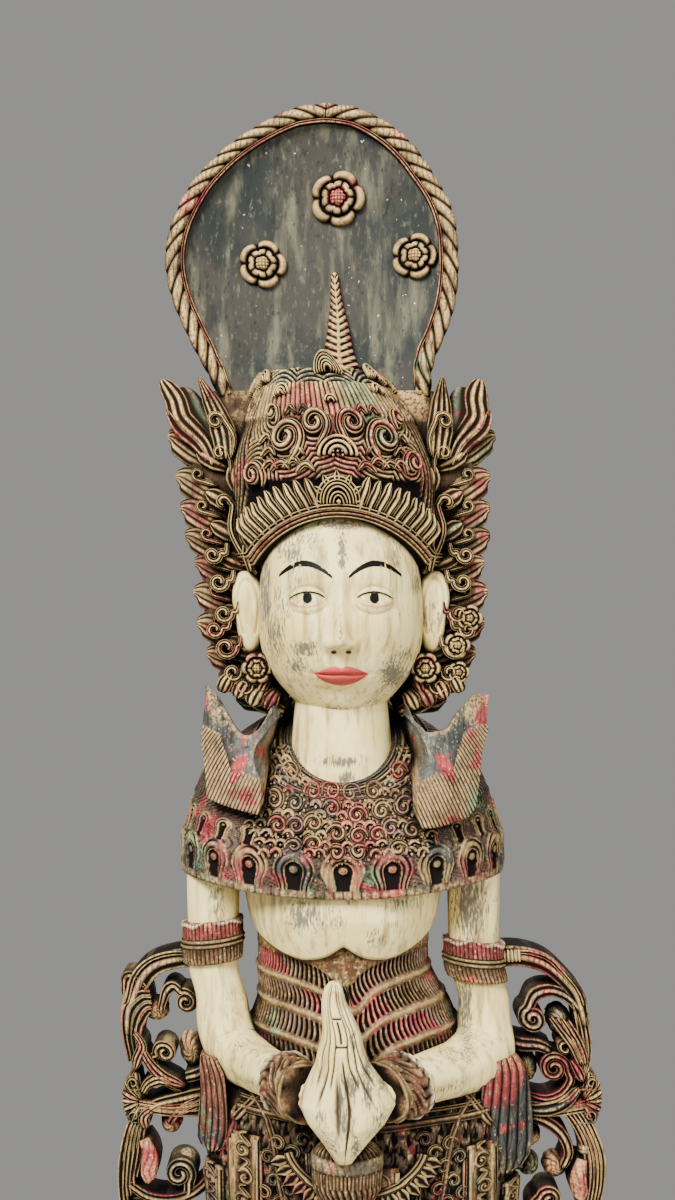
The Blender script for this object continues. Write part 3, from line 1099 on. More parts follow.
panels = []
for x, half, top, foot in ((0, 29, 588, 128), (-97, 11.5, 606, 186), (97, 11.5, 598, 186),
                           (-126, 8, 572, 230), (126, 8, 556, 230)):
    spread = 8 if x == 0 else 3
    path = [(x, top), (x, foot + 24), (x, foot)]
    panels.append(strand(path, [(0, half), (0.93, half + spread), (1, 2)], 6.5, on_skirt,
                         UMBER * 0.8 + PINK * 0.12, 1, columns=26, rows=150))
    for side in (-1, 1):
        edge_path = [(x + side * (half - 2.5), top - 2), (x + side * (half + spread - 3), foot + 36),
                     (x + side * 3, foot + 4)]
        panels.append(strand(edge_path, 2.2, 3.4, on_panel, pick(OCHRE * 0.8, GOLD * 0.75), 1, foot=2.5,
                             columns=8, rows=110))
    step = 25 if half > 20 else 21
    for i in range(int((top - 520) / step)):
        z = top - 16 - step * i
        for turn in ((-1, 1) if half > 20 else (1 if i % 2 else -1,)):
            middle = x + turn * (13 if half > 20 else 1.5)
            radius = 10.5 if half > 20 else 7.4
            path = spiral(middle, z, radius, 90 + turn * 60, 1.35, -turn)
            panels.append(strand([(middle - turn * 5, z + 15), (middle + turn * 2, z + 12), *path],
                                 [(0, 0.8), (0.2, 2.1), (1, 1.7)], 3.8, on_panel,
                                 pick(OCHRE, OCHRE * 0.8, MAUVE, GOLD * 0.8), 2, foot=2.5, columns=12,
                                 rows=42, round_end=0.08))
            panels.append(bud(middle, z, 1.6, (0, 2.2, 0), 3.6, on_panel, pick(PINK, OCHRE)))
    long = 40 if half > 20 else 34
    for i in range(int((520 - foot) / long)):
        z = 512 - long * i
        path = [(x, z), (x, z - long * 0.5), (x, z - long + 5)]
        wide = [(0, 2), (0.35, half * 0.62), (0.75, half * 0.5), (1, 0.5)]
        panels.append(strand(path, wide, 4.2, on_panel, pick(OCHRE * 0.8, MAUVE * 0.9, UMBER * 1.2), veins=6,
                             slant=0.8, rib=1.0, columns=20, rows=30))
sash_paint = old_paint("sash_paint", 0.25, 0.2, recess=(22, 18, 16), rub=0.45)
finish("skirt_panels", panels, sash_paint, 40000)

cords = []
HANGINGS = [([(-108, 622), (-60, 621), (0, 617), (60, 619), (108, 618)], 3.4, UMBER * 1.3),
            ([(-106, 630), (-60, 629), (0, 626), (60, 627), (106, 626)], 1.6, OCHRE * 0.8),
            ([(-100, 642), (-78, 612), (-69, 566), (-60, 520), (-52, 440)], 2.8, UMBER * 1.4),
            ([(100, 640), (76, 612), (66, 566), (58, 520), (52, 440)], 2.8, UMBER * 1.4),
            ([(-108, 612), (-82, 640)], 2.4, OCHRE * 0.7),
            ([(108, 608), (84, 638)], 2.4, OCHRE * 0.7),
            ([(-86, 596), (-85, 540), (-80, 400), (-78, 180)], 1.8, PINK * 0.9),
            ([(84, 590), (83, 540), (80, 400), (78, 180)], 1.8, PINK * 0.9),
            ([(-111, 600), (-109, 540), (-100, 400), (-92, 180)], 3.4, OCHRE * 0.75),
            ([(111, 592), (110, 540), (102, 400), (92, 180)], 2.2, OCHRE * 0.75),
            ([(-46, 600), (-44, 540), (-44, 400), (-46, 170)], 2.2, UMBER * 1.3),
            ([(46, 600), (44, 540), (44, 400), (46, 170)], 2.2, UMBER * 1.3)]
for path, wide, tint in HANGINGS:
    cords.append(strand(path, wide, 4.4, on_skirt, tint, 2 if wide > 2.5 else 1, foot=2.5, columns=12,
                        rows=90))
for side in (-1, 1):
    for i in range(15):
        x, z = side * (50 + 34 * ((i * 0.618) % 1)), 606 - 6 * i
        turn = side if i % 3 else -side
        cords.append(strand(spiral(x, z, 6.6, 90 - turn * 90, 1.2, turn), [(0, 0.8), (0.2, 1.9), (1, 1.6)],
                            4, on_skirt, pick(MAUVE, OCHRE, UMBER * 1.3, SLATE), 2, foot=2.5, columns=10,
                            rows=28))
for i in range(17):
    a = math.radians(200 + 140 * i / 16)
    x, z = -6 + 58 * math.cos(a), 604 + 42 * math.sin(a)
    out = (math.cos(a), math.sin(a))
    path = [(x, z), (x + 7 * out[0], z + 7 * out[1]), (x + 15 * out[0], z + 15 * out[1])]
    cords.append(strand(path, (3, 5.2, 0.6), 5.5, on_panel, pick(OCHRE, GOLD * 0.9, PINK * 0.9), 1,
                        columns=12, rows=12))
path = arc(-6, 604, 56, 40, range(190, 351, 8))
cords.append(strand(path, 3.2, 6, on_panel, OCHRE * 0.85, 2, columns=14, rows=60))
finish("sash_cords", cords, sash_paint, 20000)


KNOT_FOOT, KNOT_TALL, KNOT_ROUND = 555, 56, 40
knot_wall = wall([(554, 12, 8, -118), (560, 22, 20, -118), (572, 28, 27, -118), (586, 29, 29, -118),
                  (599, 28, 28, -119), (605, 25, 25, -120), (612, 14, 14, -121)], 3)


def knot_form(u, v):
    """The knot: a plain pale band, a row of short upright cuts, and folds gathered to a point below."""
    angle = front(u, 0.2)
    z = KNOT_FOOT + KNOT_TALL * v
    across = angle * KNOT_ROUND
    plain = ease(589, 590.5, z) * ease(601, 599.5, z)
    cuts = ease(576, 577.5, z) * ease(589, 587.5, z)
    teeth = notch(across, 4.4, 0.6)
    folds = notch(across + 0.4 * (z - 580), 7.5, 0.8)
    out = 2.2 * plain + cuts * (1.8 * teeth - 0.8) + (1 - plain) * (1 - cuts) * (1.5 * folds - 0.5)
    relief = plain * 0.9 + cuts * (0.1 + 0.8 * teeth) + (1 - plain) * (1 - cuts) * (0.2 + 0.6 * folds)
    paint = daub(plain > 0.5, tone(112, 102, 84), daub(cuts > 0.5, UMBER * 1.1, UMBER * 0.9))
    x, y, z = knot_wall(angle, z, out)
    return x - 14, y, z, np.clip(relief, 0, 1), paint


def tail_form(side, u, v):
    """A tail end of the sash at the hip: cloth in long folds with a rolled edge and a rounded foot."""
    middle, half, top, foot = (-132, 14.5, 662, 578) if side < 0 else (122, 27, 662, 560)
    t = np.where(u < 0.5, u / 0.5, np.clip((1 - u) / 0.5, 0, 1))
    back = ease(0.47, 0.53, u) * ease(1.0, 0.985, u)
    s = 2 * t - 1
    z = top - (top - foot) * v
    wide = half * np.interp(v, [0, 0.15, 0.75, 0.88, 0.96, 1], [0.55, 0.8, 1, 0.95, 0.7, 0.2])
    x = middle + (4 if side > 0 else 2) * np.sin(np.pi * v) + s * wide
    folds = notch(s * half + (9 if side > 0 else 5) * np.sin(2.4 * v) * side, 9.5 if side > 0 else 6, 0.8)
    far = np.abs(x)
    front_y = -52 + 0.75 * (far - 120) - 5 * np.cos(s * np.pi / 2) - 2.2 * folds
    front_y = front_y - 1.5 * ease(0.8, 0.95, np.abs(s))
    y = front_y + back * (24 + 8 * ease(0, -1, s * side))
    patch = z + 5 * np.sin(x / 4) > (616 + 0.9 * np.abs(x - 118) if side > 0 else 600 + 12 * np.sin(x / 3))
    tint = daub(patch, PINK * 0.85 if side > 0 else UMBER + PINK * 0.25, SLATE * 0.75)
    return x, y, z, np.clip(np.where(back > 0.4, 0.5, 0.2 + 0.75 * folds), 0, 1), tint


tails = [carve(90, 60, lambda u, v: tail_form(side, u, v)) for side in (-1, 1)]
tail_paint = old_paint("tail_paint", -0.4, 0.0, gouge=0.5, rub=0.4)
finish("sash_knot", [carve(190, 50, knot_form), *tails], tail_paint, 12000)

# The crown: a domed cap low over the brow, carved in one with the head and painted. From
# the brow up it has cords, upright flames, a dark hollow, big curls and a fluted band.


CROWN_ROUND, CROWN_TALL, CROWN_AT = 91, 164, 1098


def crown_foot(u):
    """How high the crown's foot is u mm round it: it arches over the forehead and drops at the temples."""
    return 34 * np.cos(np.minimum(1.5 * np.abs(np.asarray(u) - 2) / CROWN_ROUND, 1.75))


def on_crown(u, v, out):
    """Lays u mm round and v mm up on the crown, which flares off the head at its foot."""
    flare = 10 * (1 - ease(0, 26, v - crown_foot(u))) * ease(150, 100, np.abs(u))
    dome = np.maximum(0, v / CROWN_TALL - 0.42)
    radius = CROWN_ROUND * (1 - 1.1 * dome ** 1.6) - flare
    slope = CROWN_ROUND * 1.1 * 1.6 / CROWN_TALL * dome ** 0.6
    away = out / np.sqrt(1 + slope ** 2)
    angle = u / CROWN_ROUND
    return np.sin(angle) * (radius + away), -6 - np.cos(angle) * (radius + away), CROWN_AT + v + away * slope


CURLS = [(-16, 112, 13, -35, 1.35, 1), (20, 112, 13, 215, 1.35, -1), (-43, 100, 16, -30, 1.4, 1),
         (50, 100, 16, 210, 1.4, -1), (-74, 70, 10.5, 10, 1.3, 1), (77, 80, 9.5, 170, 1.3, -1),
         (-62, 122, 7, 0, 1.2, 1), (74, 118, 7, 180, 1.2, -1)]


def crown_form(u, v):
    angle = front(u, 0.4)
    across = angle * CROWN_ROUND
    base = crown_foot(across)
    low = base - 3
    up = low + (165 - low) * v
    hollow = ease(base + 16, base + 22, up) * ease(68, 60, up) * ease(100, 80, np.abs(across))
    flutes = ease(118, 121, up) * ease(152, 149, up)
    fan = notch(across, 6.2, 0.55)
    sides = ease(86, 96, np.abs(across))
    field = (1 - flutes) * (1 - hollow) * (1 - sides) * ease(base + 18, base + 24, up)
    nearest = np.full(len(u), 99.0)
    for cu, cv, r, *_ in CURLS:
        nearest = np.minimum(nearest, np.hypot(across - cu, up - cv) - r)
    waves = 0.5 + 0.5 * np.cos(2 * np.pi * nearest / 4.2)
    ribs = notch(across + 6 * np.sin(up / 15), 7, 0.6)
    out = -5 * ease(base + 10, base + 2, up)
    out = out - 17 * ease(base + 1, base - 3, up) * ease(150, 100, np.abs(across))
    out = out - 3.5 * hollow + flutes * (2.2 * fan - 0.6) + field * (1.8 * waves - 1)
    out = out + sides * (2 * ribs - 1) * ease(150, 140, up)
    relief = 0.5 + flutes * (fan - 0.5) + field * (0.75 * waves - 0.3) - 0.45 * hollow
    relief = relief + sides * (0.9 * ribs - 0.6)
    hue = np.sin(across / 27 + 2.2) + 0.6 * np.sin(up / 13 + across / 19)
    rosy = ease(-0.2, 0.7, hue + 0.35 * np.sin(across / 6.5) * np.sin(up / 5))[:, None]
    paint = (PINK * 0.7 + OCHRE * 0.15) * rosy + OCHRE * 0.66 * (1 - rosy)
    ragged = up + 7 * np.sin(across / 6 + up / 9)
    mossy = (ease(14, 26, across + 6 * np.sin(up / 6)) * ease(66, 52, across)
             * ease(104, 120, ragged))[:, None]
    paint = (GREEN * 0.7 + OCHRE * 0.22) * mossy + paint * (1 - mossy)
    paint = daub(sides > 0.5, UMBER * 0.8, paint)
    paint = daub(up > 152, SLATE * 0.7, paint)
    paint = daub(up < base + 2, UMBER * 1.4 + PINK * 0.15, paint)
    return *on_crown(across, up, out), np.clip(relief, 0, 1), paint


crown_paint = old_paint("crown_paint", 0.35, 0.3, chalk=0.6, recess=(14, 12, 12), gouge=0.2, rub=0.8)
finish("crown_cap", [carve(600, 150, crown_form)], crown_paint, 66000)

crown = []
for cu, cv, r, start, turns, way in CURLS:
    lead = [arc(cu, cv, r + 1, r + rise, [start - way * ahead])[0] for ahead, rise in ((48, 10), (22, 3))]
    path = lead + spiral(cu, cv, r, start, turns, way)
    wide = 0.2 * r + 0.9
    face = pick(PINK, OCHRE * 0.9, GREEN * 0.9, PINK * 0.8) if r > 9 else pick(OCHRE, PINK)
    crown.append(strand(path, [(0, 0.4), (0.15, wide), (0.7, wide * 0.95), (0.94, wide * 1.25), (1, wide)],
                        [(0, 4), (0.3, 7.5), (1, 9)], on_crown, face, 2, foot=5, columns=24, round_end=0.06,
                        edge=GOLD))
for cu, cv, radii, wide, base in (((5, 84, (16, 11.5, 7), 1.7, 0)), ((4, 130, (6.2, 3.2), 1.2, 0)),
                                  ((-54, 138, (9.5, 6, 3), 1.4, 10)), ((72, 140, (8.5, 5.2), 1.3, -10)),
                                  ((11, 158, (19, 15.5, 12, 8.5, 5), 1.3, 0)),
                                  ((-122, 147, (14, 11, 8), 1.3, 20)), ((-96, 150, (12, 9, 6), 1.3, 14)),
                                  ((88, 153, (14, 11, 8, 5), 1.3, -12)), ((122, 150, (12, 9), 1.3, -20))):
    for k, r in enumerate(radii):
        path = arc(cu, cv, r, r, np.linspace(-8 + base, 188 + base, 15))
        crown.append(strand(path, wide, 5.5 + 0.5 * k, on_crown, pick(GOLD, OCHRE), 0, foot=4, columns=12))
for i in range(3):
    for j in range(3):
        if i + j < 4:
            crown.append(bud(1 + 4 * i, 84 + 3.4 * j, 1.4, (0.3, 1.7, 0.3), 4.5, on_crown, pick(PINK, GOLD),
                             3, 10))
for side in (-1, 1):
    for u, v, lean_out in ((24, 74, 10), (35, 78, 11), (46, 76, 12), (57, 77, 10), (33, 88, 6), (60, 88, 9),
                           (66, 100, 8), (30, 124, 6), (44, 124, 6)):
        path = [(side * (u - 7) + 3, v - 4), (side * u + 3, v + 3), (side * (u + lean_out * 0.6) + 3, v + 1),
                (side * (u + lean_out) + 3, v - 5)]
        crown.append(strand(path, [(0, 0.5), (0.4, 3), (0.8, 2.6), (1, 0.4)], 5.5, on_crown,
                            pick(OCHRE, PINK, UMBER, GOLD), 2, foot=4, columns=16, rows=22, edge=GOLD * 0.9))
finish("crown_curls", crown, crown_paint, 27000)

flames = []
for i in range(-11, 12):
    if abs(i) < 2:
        continue
    side, place = (1 if i > 0 else -1), abs(i) - 1.6
    u = 3 + side * (15 + 8.2 * place)
    foot_at = float(crown_foot(u)) + 8
    tilt = side * 0.56 * math.sin(min(1.5 * abs(u - 2) / CROWN_ROUND, 1.5))
    tall = 27 - 0.3 * place + 2 * hand.random()
    path = [(u + tall * (t * tilt + side * 0.16 * t ** 2), foot_at - 2 + tall * t) for t in (0, 0.4, 0.75, 1)]
    flames.append(strand(path, [(0, 4.0), (0.45, 4.7), (0.8, 3.5), (1, 0.8)], [(0, 6), (0.6, 8), (1, 3)],
                         on_crown, pick(GOLD * 1.35, OCHRE * 1.3, GOLD * 1.1), 2, foot=6, columns=22,
                         rows=30))
for r, tall in ((17, 0.9), (11.5, 1.0), (6, 1.1)):
    path = arc(3, 42, r, 1.5 * tall * r, np.linspace(0, 180, 15))
    flames.append(strand(path, 2.5, 10 - 0.15 * r, on_crown, pick(GOLD, OCHRE) * 1.25, 1, foot=5, columns=16,
                         edge=GOLD * 1.3))
for a in range(0, 181, 30):
    u, v = 19 * math.cos(math.radians(a)), 2 + 23 * math.sin(math.radians(a))
    path = [(3 + u * far, 42 + v * far) for far in (0.8, 1, 1.18)]
    flames.append(strand(path, (2, 3.2, 0.3), 8, on_crown, GOLD, 1, foot=5, columns=16, rows=14))
flames.append(bud(3, 45, 2, (0.5, 3, 0.5), 12, on_crown, PINK, 5, 14, 10))
for up, wide, high, tint in ((7.5, 2.3, 8.5, OCHRE), (3.4, 2.1, 6.5, PINK * 0.75),
                             (0.2, 1.8, 4, OCHRE * 0.8)):
    path = [(u, float(crown_foot(u)) + up) for u in range(-126, 131, 4)]
    flames.append(strand(path, wide, high, on_crown, tint, 1, foot=8, columns=16, rows=240))
flame_paint = old_paint("flame_paint", 0.12, 0.1, chalk=1.3, recess=(14, 12, 10), gouge=0.0, rub=0.95)
finish("brow_flames", flames, flame_paint, 28000)

# The side wings: a fan of blunt feathers behind each ear, cut deep in a thick slab of the
# log and painted, with hooked leaves next to the crown and flowers under the ears.

WING_FOOT, WING_TALL = 963, 286
WING_TIPS = [(148, 1207), (142, 1171), (140, 1143), (138, 1118), (131, 1094), (133, 1068), (130, 1040),
             (122, 1013), (111, 990), (96, 973)]
WING_EDGE_Z = [962, 975, 990, 1012, 1040, 1070, 1100, 1140, 1175, 1205, 1225, 1240, 1250]
WING_OUTER = [76, 92, 104, 115, 122, 124, 124, 128, 130, 128, 108, 101, 98]
WING_INNER = [56, 50, 50, 52, 56, 60, 64, 66, 64, 60, 58, 58, 60]


def on_board(side, face):
    """A lay for cuts on the front of an upright board, mirrored by side, with its front at face."""
    return lambda a, b, out: (side * a, face - out, b)


def blunt(wave, power):
    """Squares off a sine or cosine, so that a round becomes a rounded board."""
    return np.sign(wave) * np.abs(wave) ** power


def wing_slab(side, u, v):
    """The slab behind the feathers, rounded at its edges, with shallow rays cut in its back."""
    turn = 2 * np.pi * u
    z = WING_FOOT + WING_TALL * v
    inner, outer = np.interp(z, WING_EDGE_Z, WING_INNER), np.interp(z, WING_EDGE_Z, WING_OUTER)
    across, deep = blunt(np.cos(turn), 0.35), blunt(np.sin(turn), 0.5)
    x = (inner + outer) / 2 + (outer - inner) / 2 * across
    back = deep > 0
    rays = notch(np.arctan2(z - 1060, x - 20), 0.085, 0.5)
    y = 2 + 13.5 * deep + np.where(back, -1.6 * (1 - rays) * (1 - np.abs(across) ** 6), 0)
    return side * x, y, z, np.where(back, 0.35 + 0.6 * rays, 0.3 + 0.35 * rays), UMBER * 1.1


def leaf(points, wide, high, lay, tint, flutes=3, foot=14.0, tip=0.3, **more):
    """A blunt fluted leaf that swells from its root and rounds off at its tip."""
    return strand(points, [(0, wide * 0.55), (0.5, wide), (0.82, wide * 0.92), (1, wide * 0.55)],
                  (high * 0.5, high, high * 0.8), lay, tint, flutes, foot=foot, round_end=tip,
                  **{"columns": 30, **more})


def hook(cu, cv, radius, stem, lay, tint, way=1, start=0.0, turns=1.2, wide=3.4, high=8.0, foot=12.0,
         edge=None, **more):
    """A leaf whose stem runs up and curls over into a snail."""
    path = list(stem) + spiral(cu, cv, radius, start, turns, way)
    return strand(path, [(0, wide * 0.6), (0.3, wide), (0.8, wide * 0.85), (0.95, wide), (1, wide * 0.7)],
                  (high * 0.6, high, high * 1.15), lay, tint, 2, foot=foot, round_end=0.07, edge=edge,
                  **{"columns": 24, **more})


def flower(cu, cv, radius, high, lay, tint, heart, petals=5, foot=8.0):
    """A round flower of two rings of petals about a bud."""

    def form(u, v):
        turn = 2 * np.pi * u
        fore = v < 0.72
        rho = np.where(fore, v / 0.72, 1 - (v - 0.78) / 0.22 * (v > 0.78))
        petal = np.abs(np.cos(petals / 2 * turn)) ** 0.5
        inner = np.abs(np.sin(petals / 2 * turn)) ** 0.5
        size = radius * (0.84 + 0.16 * petal)
        bud = rho < 0.3
        ring = (rho >= 0.3) & (rho < 0.62)
        near, far = (np.sin(np.pi * np.clip((rho - root) / long, 0, 1))
                     for root, long in ((0.3, 0.32), (0.62, 0.4)))
        lift = np.select([bud, ring], [1.0 - 0.3 * (rho / 0.3) ** 2,
                                       0.5 + 0.34 * near ** 0.7 * (0.4 + 0.6 * inner)],
                         0.12 + 0.5 * far ** 0.7 * (0.4 + 0.6 * petal))
        seeds = notch(rho * radius * np.cos(turn), 3.0, 0.6) * notch(rho * radius * np.sin(turn), 3.0, 0.6)
        out = np.where(fore, high * lift + 1.2 * bud * seeds, -foot * np.clip((v - 0.72) / 0.06, 0, 1))
        relief = np.select([bud, ring], [0.35 + 0.6 * seeds, 0.15 + 0.85 * inner * near ** 0.5],
                           0.1 + 0.9 * petal * far ** 0.5)
        paint = daub(rho < 0.42, heart, tint)
        x, y, z = lay(cu + size * rho * np.cos(turn), cv + size * rho * np.sin(turn), out)
        return x, y, z, np.where(fore, np.clip(relief, 0, 1), 0.4), paint

    return carve(70, 60, form)


wing_paint = old_paint("wing_paint", 0.42, 0.3, chalk=0.45, recess=(32, 25, 19), gouge=0.45, rub=0.85)
for name, side in (("left_wing", -1), ("right_wing", 1)):
    far, near, top = on_board(side, -6), on_board(side, -14), on_board(side, -22)
    cuts = [carve(120, 150, lambda u, v: wing_slab(side, u, v))]
    cuts.append(leaf([(101, 1182), (112, 1204), (123, 1228), (126, 1251)], 16, 9, near,
                     GREEN * 0.35 + SLATE * 0.4, 1, foot=24, tip=0.12, columns=40))
    plume = ((104, 1180), (113, 1200), (131, 1220), (134, 1239), (142, 1257))
    cuts.append(leaf(plume, 11.5, 13, near, OCHRE * 0.8 + PINK * 0.1, 3, foot=26, tip=0.12,
                     edge=PINK * 0.5 + OCHRE * 0.4, columns=44))
    cuts.append(leaf([(110, 1184), (121, 1198), (136, 1212), (144, 1230)], 5, 14, near, PINK * 0.8, 1,
                     foot=26, tip=0.2))
    cuts.append(leaf([(108, 1180), (124, 1200), (136, 1222), (140, 1232)], 8, 10, far, OCHRE * 0.8, 3,
                     foot=20, tip=0.2, edge=PINK * 0.9))
    cuts.append(strand([(93, 1184), (96, 1210), (102, 1236), (108, 1258)],
                       [(0, 9), (0.35, 12), (0.7, 8.5), (1, 1.5)], 11, top, UMBER * 1.4, 4, foot=26,
                       columns=40, edge=OCHRE))
    cuts.append(hook(101, 1218, 8, [(88, 1186), (86, 1203)], on_board(side, -30), GOLD * 0.9, -1, 180, 1.3,
                     2.4, 6))
    for k, (x, z) in enumerate(WING_TIPS):
        fall = (z - 1100) * 0.07
        rise = 12 + fall if z > 1000 else -6
        root = (x - 50, z - rise - 10)
        path = [root, (x - 26, z - 0.55 * rise - 3), (x - 9, z - 0.1 * rise), (x, z)]
        wide, tint = 14 + 2 * hand.random(), pick(OCHRE, UMBER * 1.8, UMBER * 1.1 + PINK * 0.45, OCHRE * 0.85)
        cuts.append(leaf(path, wide, 9, far, tint, 5, foot=16, edge=pick(OCHRE, PINK * 0.9, GREEN * 0.8)))
        if k < 9:
            nx, nz = x - 27, z - 16
            cuts.append(leaf([(nx - 34, nz - 14), (nx - 16, nz - 7), (nx, nz + 2)], 8.5, 8, near,
                             pick(PINK * 0.9, OCHRE, GOLD * 0.85, GREEN * 0.7), 2, foot=14,
                             edge=pick(GOLD * 0.9, OCHRE)))
            cuts.append(hook(x - 22, z + 1, 5.5, [(x - 40, z - 10), (x - 31, z - 7)], near,
                             pick(OCHRE, GOLD * 0.8, PINK), 1, -90, 1.2, 2.2, 6))
    cuts.append(hook(99, 1190, 6.5, [(90, 1170), (90, 1182)], on_board(side, -26), GOLD * 0.8, -1, 180, 1.25,
                     2.3, 6))
    cuts.append(hook(98, 1146, 6, [(72, 1082), (84, 1100), (93, 1122), (90, 1142)], on_board(side, -28),
                     GOLD * 0.9, -1, 180, 0.9, 3.6, 9, edge=GOLD))
    cuts.append(leaf([(78, 1084), (80, 1100), (78, 1118)], 5.5, 8, on_board(side, -32), GOLD * 0.9, 2,
                     foot=14))
    cuts.append(leaf([(84, 1152), (88, 1168), (84, 1182)], 7, 8, on_board(side, -24), GOLD * 0.85, 2,
                     foot=14))
    for x, z, r in ((108, 1076, 8), (104, 1048, 8), (102, 1018, 10), (96, 996, 8), (112, 1034, 7),
                    (86, 984, 8), (112, 1100, 7)):
        cuts.append(hook(x, z, r, [(x - 14, z + 12), (x - 12, z + 2)], top,
                         pick(PINK, OCHRE, GOLD * 0.8, UMBER * 1.3), 1, 170, 1.25, 3, 7))
    cuts.append(flower(74, 1000, 14, 11, on_board(side, -30), OCHRE * 0.95, GOLD * 0.9, 6, 22))
    for x, z, r in ((90, 979, 8), (77, 972, 9), (64, 969, 8), (104, 984, 7), (70, 984, 6)):
        cuts.append(leaf([(x - 8, z + 12), (x - 2, z + 4), (x + 3, z - 7)], r, 9, top,
                         pick(OCHRE, PINK * 0.8, GOLD * 0.8), 3, foot=20))
    if side > 0:
        for x, z, r in ((114, 1044, 12), (103, 1020, 12), (104, 996, 10)):
            cuts.append(flower(x, z, r, 10, on_board(side, -22), GOLD * 0.85, OCHRE, 5, 16))
    finish(name, cuts, wing_paint, 52000)

# The plate: a tall shallow dish behind the crown, of the same wood, painted grey green. Its
# lobed rim, the cord inside it, three flowers and a spike are cut in one with it.

PLATE_UP = 1368
PLATE_EDGE = [(1232, 92), (1236, 92), (1258, 97), (1278, 105), (1302, 117), (1334, 128), (1368, 131.5),
              (1398, 127.5), (1425, 116.5), (1452, 97.5), (1474, 76), (1490, 53), (1502, 27), (1505.5, 0)]
points = np.array(PLATE_EDGE, float)
edge_turn = np.arctan2(points[:, 1], points[:, 0] - PLATE_UP)
edge_reach = np.hypot(points[:, 1], points[:, 0] - PLATE_UP)


def plate_reach(turn):
    """How far the plate's edge is from its middle, by the angle from straight up."""
    turn = np.abs((turn + np.pi) % (2 * np.pi) - np.pi)
    side = np.interp(turn, edge_turn[::-1], edge_reach[::-1])
    return np.where(turn > edge_turn[0], 136 / np.maximum(-np.cos(turn), 0.3), side)


def bowl(rho, z):
    """How deep the plate is hollowed, from its middle (rho 0) to its edge (rho 1)."""
    return 22 * np.clip(1 - rho ** 2, 0, 1) ** 0.8 * ease(1225, 1290, z)


def plate_form(u, v):
    turn = 2 * np.pi * u
    fore, back = v < 0.56, v > 0.62
    rho = np.where(fore, v / 0.56, np.where(back, (1 - v) / 0.38, 1.0))
    reach = plate_reach(turn) - 4
    x, z = rho * reach * np.sin(turn), PLATE_UP + rho * reach * np.cos(turn)
    step = 2.4 * ease(0.93, 0.955, rho) + 1.6 * bell(rho, 0.955, 0.012)
    thin = 18 * ease(1236, 1500, z)
    scars = 0.5 * np.sin(x / 9 + np.sin(z / 40)) * np.sin(z / 60)
    y = np.where(fore, -6 + bowl(rho, z) - step + scars, 44 - thin + 0 * x)
    y = np.where(~fore & ~back, -8 + (52 - thin) * (v - 0.56) / 0.06, y)
    crack = bell(x - 66, 3 * np.sin(z / 9), 0.7) * ease(1398, 1408, z) * ease(1440, 1430, z) * fore
    y = y + 2.5 * crack
    relief = np.where(fore, 0.9 - 0.9 * crack - 0.5 * bell(rho, 0.93, 0.012), 0.85)
    return x, y, z, np.clip(relief, 0, 1), SLATE * 0.24 + OCHRE * 0.03


def dish_paint():
    """Grey-green paint in a thin uneven coat, with pale upright streaks, dark clouds and a few chips."""
    material, tree, paint, relief, near = open_pot("dish_paint", 0.03)
    streaks = speckle(tree, 60, 5, (1, 1, 0.16))
    fine = speckle(tree, 260, 5, (1, 1, 0.4), shift=6.0)
    cloud = speckle(tree, 13, 3, shift=12.0)
    colour = paint.coat(cloud.between(0.42, 0.62), tone(38, 42, 38))
    colour = colour.coat(streaks.between(0.46, 0.7) * 0.36, tone(142, 138, 108))
    colour = colour.coat(fine.between(0.55, 0.72) * 0.35, tone(126, 122, 98))
    colour = colour.coat(fine.between(0.44, 0.32) * 0.7, tone(26, 28, 27))
    colour = colour.coat(speckle(tree, 240, 2, shift=41.0).between(0.73, 0.76) * 0.8, tone(206, 200, 180))
    deep = relief.between(0.6, 0.0) | near.between(0.6, 0.1) * 0.8
    colour = colour.coat(deep, tone(30, 30, 28))
    lift = streaks * 0.6 + fine * 0.4
    return dry(material, colour, fine * 0.3 + 0.55, 0.2, lift, 0.5, 0.0014)


finish("plate", [carve(260, 150, plate_form)], dish_paint(), 14000)

rim = []
turns = np.linspace(-2.53, 2.53, 90)
edge_line, inner_line = ([((plate_reach(t) - inset) * math.sin(t),
                           PLATE_UP + (plate_reach(t) - inset) * math.cos(t)) for t in turns]
                         for inset in (7, 15.5))
rim.append(strand(edge_line, (7.8, 7.0, 7.8), 10, on_board(1, -4), OCHRE * 0.62 + MAUVE * 0.1, veins=36,
                  slant=0.62, skew=True, foot=26, columns=34, rows=900, edge=UMBER * 1.2))
rim.append(strand(inner_line, 1.8, 5, on_board(1, -5), PINK * 0.75 + OCHRE * 0.25, 1, foot=6, columns=14,
                  rows=420))
finish("plate_rim", rim, old_paint("rim_paint", 0.3, 0.25, chalk=0.3, gouge=0.6, rub=0.75), 26000)


def on_dish(a, b, out):
    """A lay for cuts on the hollow of the plate."""
    turn = np.arctan2(a, b - PLATE_UP)
    rho = np.clip(np.hypot(a, b - PLATE_UP) / (plate_reach(turn) - 4), 0, 1)
    return a, -6 + bowl(rho, b) - out, b


dish = [flower(20, 1423, 25, 15, on_dish, OCHRE * 0.95, PINK, 5, 6),
        flower(-45, 1364, 22, 14, on_dish, OCHRE * 0.85, OCHRE, 5, 6),
        flower(92, 1370, 21, 14, on_dish, OCHRE * 0.8, GOLD * 0.7, 5, 6)]
dish.append(strand([(20, 1250, 4), (20, 1290, 4), (20, 1330, 2), (20, 1357, 0)],
                   [(0, 21), (0.35, 13), (0.75, 5.6), (1, 3.2)], [(0, 15), (0.6, 11), (1, 8)], on_dish,
                   OCHRE, veins=17, slant=0.9, rib=1.0, foot=6, columns=44, rows=200, round_end=0.02,
                   edge=PINK * 0.6 + OCHRE * 0.3))
flower_paint = old_paint("flower_paint", 0.3, 0.05, chalk=0.6, recess=(16, 13, 12), gouge=0.0)
finish("plate_flowers", dish, flower_paint, 20000)

